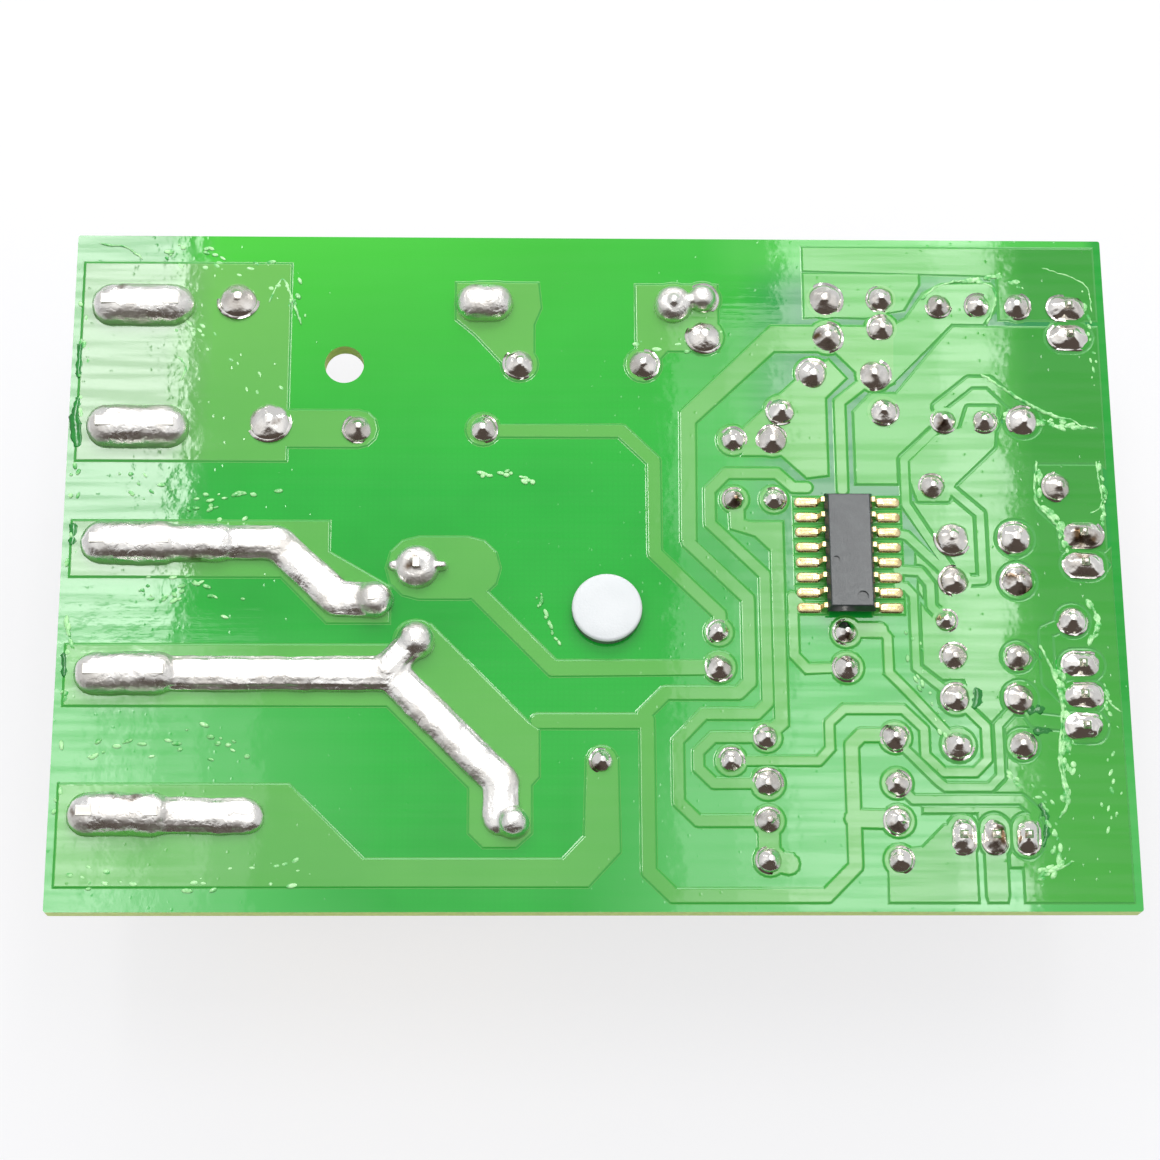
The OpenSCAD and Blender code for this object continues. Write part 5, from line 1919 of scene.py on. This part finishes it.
@dataclass
class Studio:
    """Floor, lamps, surroundings and camera.

    Attributes:
        focal: Focal length in picture widths.
        floor_size: Side of the floor, m.
        turn: Turns of the board against the camera about X, Y and Z, radians.
        shift: Place of the board's middle in the camera's frame, mm.
        window: Height of the windows above the table, m.
        windows: Each window's name, X and Y edges of its reflection in the board as the
            camera sees it, mm, and how bright it is; 1 is white.
    """

    focal: float = 2700 / 1160
    floor_size: float = 3.0
    turn: tuple[float, float, float] = (-0.29614, 0.02659, 0.00542)
    shift: tuple[float, float, float] = (1.108, 1.406, -216.513)
    window: float = 0.64
    windows: tuple = (
        ("left_window", (-50.0, -33.2), (-6, 36), 12.6),
        ("left_low_1", (-50.0, -38.5), (-34, -6), 7.0),
        ("left_low_2", (-38.5, -34.5), (-34, -6), 4.8),
        ("left_low_3", (-34.5, -30.5), (-34, -6), 2.8),
        ("left_low_4", (-30.5, -26.5), (-34, -6), 1.2),
        ("right_soft_1", (6.5, 11.0), (-34, 22), 1.9),
        ("right_soft_2", (11.0, 15.5), (-34, 22), 3.0),
        ("right_window", (15.5, 28.5), (-34, 36), 6.0),
        ("right_bright", (28.5, 33.6), (-34, 36), 8.6))

    def camera(self) -> None:
        """Sets the camera above the near edge, looking down on the solder side."""
        lens = bpy.data.cameras.new("camera")
        lens.sensor_width = 36.0
        lens.lens = self.focal * 36.0
        lens.clip_start, lens.clip_end = 0.01, 20.0
        eye = bpy.data.objects.new("camera", lens)
        bpy.context.collection.objects.link(eye)
        spin = (Matrix.Rotation(self.turn[0], 3, "X") @ Matrix.Rotation(self.turn[1], 3, "Y")
                @ Matrix.Rotation(self.turn[2], 3, "Z"))
        where = -(spin.transposed() @ Vector(self.shift)) + Vector((0, 0, TOP_Z))
        eye.matrix_world = Matrix.Translation(where * MM) @ spin.transposed().to_4x4()
        bpy.context.scene.camera = eye

    def lamp(self, name: str, at: Sequence[float], size: tuple[float, float],
             radiance: float, aim: Sequence[float] = (0, 0, 0.02)) -> None:
        """Hangs a rectangular soft lamp.

        Args:
            name: The lamp's name.
            at: Its middle, m.
            size: Its sides, m.
            radiance: How bright its face is; 1 is white.
            aim: The point that it faces, m.
        """
        data = bpy.data.lights.new(name, "AREA")
        data.shape = "RECTANGLE"
        data.size, data.size_y = size
        data.energy = radiance * size[0] * size[1] * math.pi
        lamp = bpy.data.objects.new(name, data)
        bpy.context.collection.objects.link(lamp)
        lamp.location = at
        back = Vector(at) - Vector(aim)
        lamp.rotation_mode = "QUATERNION"
        lamp.rotation_quaternion = back.to_track_quat("Z", "Y")

    def hang_windows(self) -> None:
        """Hangs each window where the board mirrors it to the camera between its edges."""
        eye = bpy.context.scene.camera.location
        reach = (self.window - TOP_Z * MM) / (eye.z - TOP_Z * MM)
        for name, edges, span, radiance in self.windows:
            low, high = (x * MM + (x * MM - eye.x) * reach for x in edges)
            front, back = (y * MM + (y * MM - eye.y) * reach for y in span)
            middle = ((low + high) / 2, (front + back) / 2)
            self.lamp(name, (*middle, self.window), (high - low, back - front), radiance,
                      (*middle, 0))

    def floor(self) -> None:
        """Lays the pale floor, which the camera sees nearly white."""
        Bench.clear()
        bpy.ops.mesh.primitive_plane_add(size=self.floor_size, location=(0, 0, -0.00002))
        plane = Bench.named("floor")
        recipe = Recipe("floor_paper")
        tree = recipe.tree
        cloud = recipe.mask(Effect.MOTTLE, 9, 0.3, 0.7)
        plane.data.materials.append(recipe.feed(
            Specular_IOR_Level=0.1, Roughness=0.8,
            Base_Color=recipe.mix(cloud, srgb(244, 244, 246), srgb(241, 241, 244))))
        seen = add_node(tree, "LightPath", {}).outputs["Is Camera Ray"]
        paper = add_node(tree, "Emission", {"Color": (0.95, 0.95, 0.96, 1)})
        both = add_node(tree, "MixShader", {
            "Fac": recipe.math("MULTIPLY", seen, 0.75), 1: recipe.shader.outputs["BSDF"],
            2: paper.outputs["Emission"]})
        feed(tree.nodes["Material Output"], {"Surface": both.outputs["Shader"]})

    @staticmethod
    def blend(value: Socket, span: Span, first: Feed, second: Feed) -> Socket:
        """Blends from one colour to another as a value crosses a span.

        Args:
            value: The value.
            span: Where the first colour ends and where the second begins.
            first: The first colour.
            second: The second colour.

        Returns:
            The blended colour.
        """
        tree = value.id_data
        ramp = add_node(tree, "MapRange", {
            "Value": value, "From Min": span[0], "From Max": span[1]},
            interpolation_type="SMOOTHSTEP")
        return mix_colours(tree, ramp.outputs["Result"], first, second)

    def surroundings(self) -> None:
        """Makes a soft white room, darker low down on the camera's side."""
        world = bpy.data.worlds.new("room")
        bpy.context.scene.world = world
        world.use_nodes = True
        tree = world.node_tree
        seen = add_node(tree, "LightPath", {}).outputs
        where = add_node(tree, "TexCoord", {}).outputs["Generated"]
        way = add_node(tree, "SeparateXYZ", {"Vector": where}).outputs
        room = self.blend(way["Z"], (0.25, 0.85), (0.66, 0.67, 0.69, 1),
                          (0.98, 0.98, 0.99, 1))
        room = self.blend(way["Z"], (0.955, 0.985), room, (1.4, 1.4, 1.4, 1))
        dark = self.blend(way["Y"], (-0.22, -0.6), room, (0.09, 0.07, 0.06, 1))
        near = mix_colours(tree, seen["Is Diffuse Ray"], dark, (0.5, 0.5, 0.51, 1))
        lit = self.blend(way["Y"], (-0.22, -0.6), room, near)
        shown = mix_colours(tree, seen["Is Camera Ray"], lit, (0.93, 0.93, 0.94, 1))
        feed(tree.nodes["Background"], {"Color": shown})

    def build(self) -> None:
        """Sets up the whole studio."""
        bpy.context.scene.view_settings.view_transform = "Standard"
        self.camera()
        self.floor()
        self.surroundings()
        self.lamp("top_light", (0.1, 1.0, 0.75), (1.0, 0.5), 1.4)
        self.lamp("back_light", (-0.01, 0.14, 0.13), (0.22, 0.05), 2.8)
        self.hang_windows()


def main() -> None:
    """Builds the board's looks in order."""
    palette = Palette()
    for assembly in (Nodes, CopperRelief, SolderJoints, SolderPours, Chip, Post, AxialParts):
        assembly(palette).build()
    BoxPart(palette, (7.2, 2.5, 6.5), 5.08, 0.3, 0.3, "red_box").build(*(
        (f"red_capacitor_{i}", f"box_capacitor_{i}", at, turn)
        for i, (at, turn, *_) in enumerate(SolderJoints.axial[17:25], 1)))
    BoxPart(palette, (18, 6, 12), 15.2, 0.4, 0.4, "yellow_box").build(
        ("film_capacitor_case", "film_capacitor", (-0.9, 22.3), 0.0))
    BoxPart(palette, (26.5, 7, 16.5), 22.5, 0.4, 0.45, "yellow_box").build(
        ("mains_capacitor_case", "mains_capacitor", left(24.8, -20.9), 0.0))
    for assembly in (Varistor, Can, HeaderPins, FluxSpecks, FluxStrings):
        assembly(palette).build()
    Studio().build()


if __name__ == "__main__":
    logging.basicConfig(level=logging.INFO, format="%(name)s %(message)s")
    main()
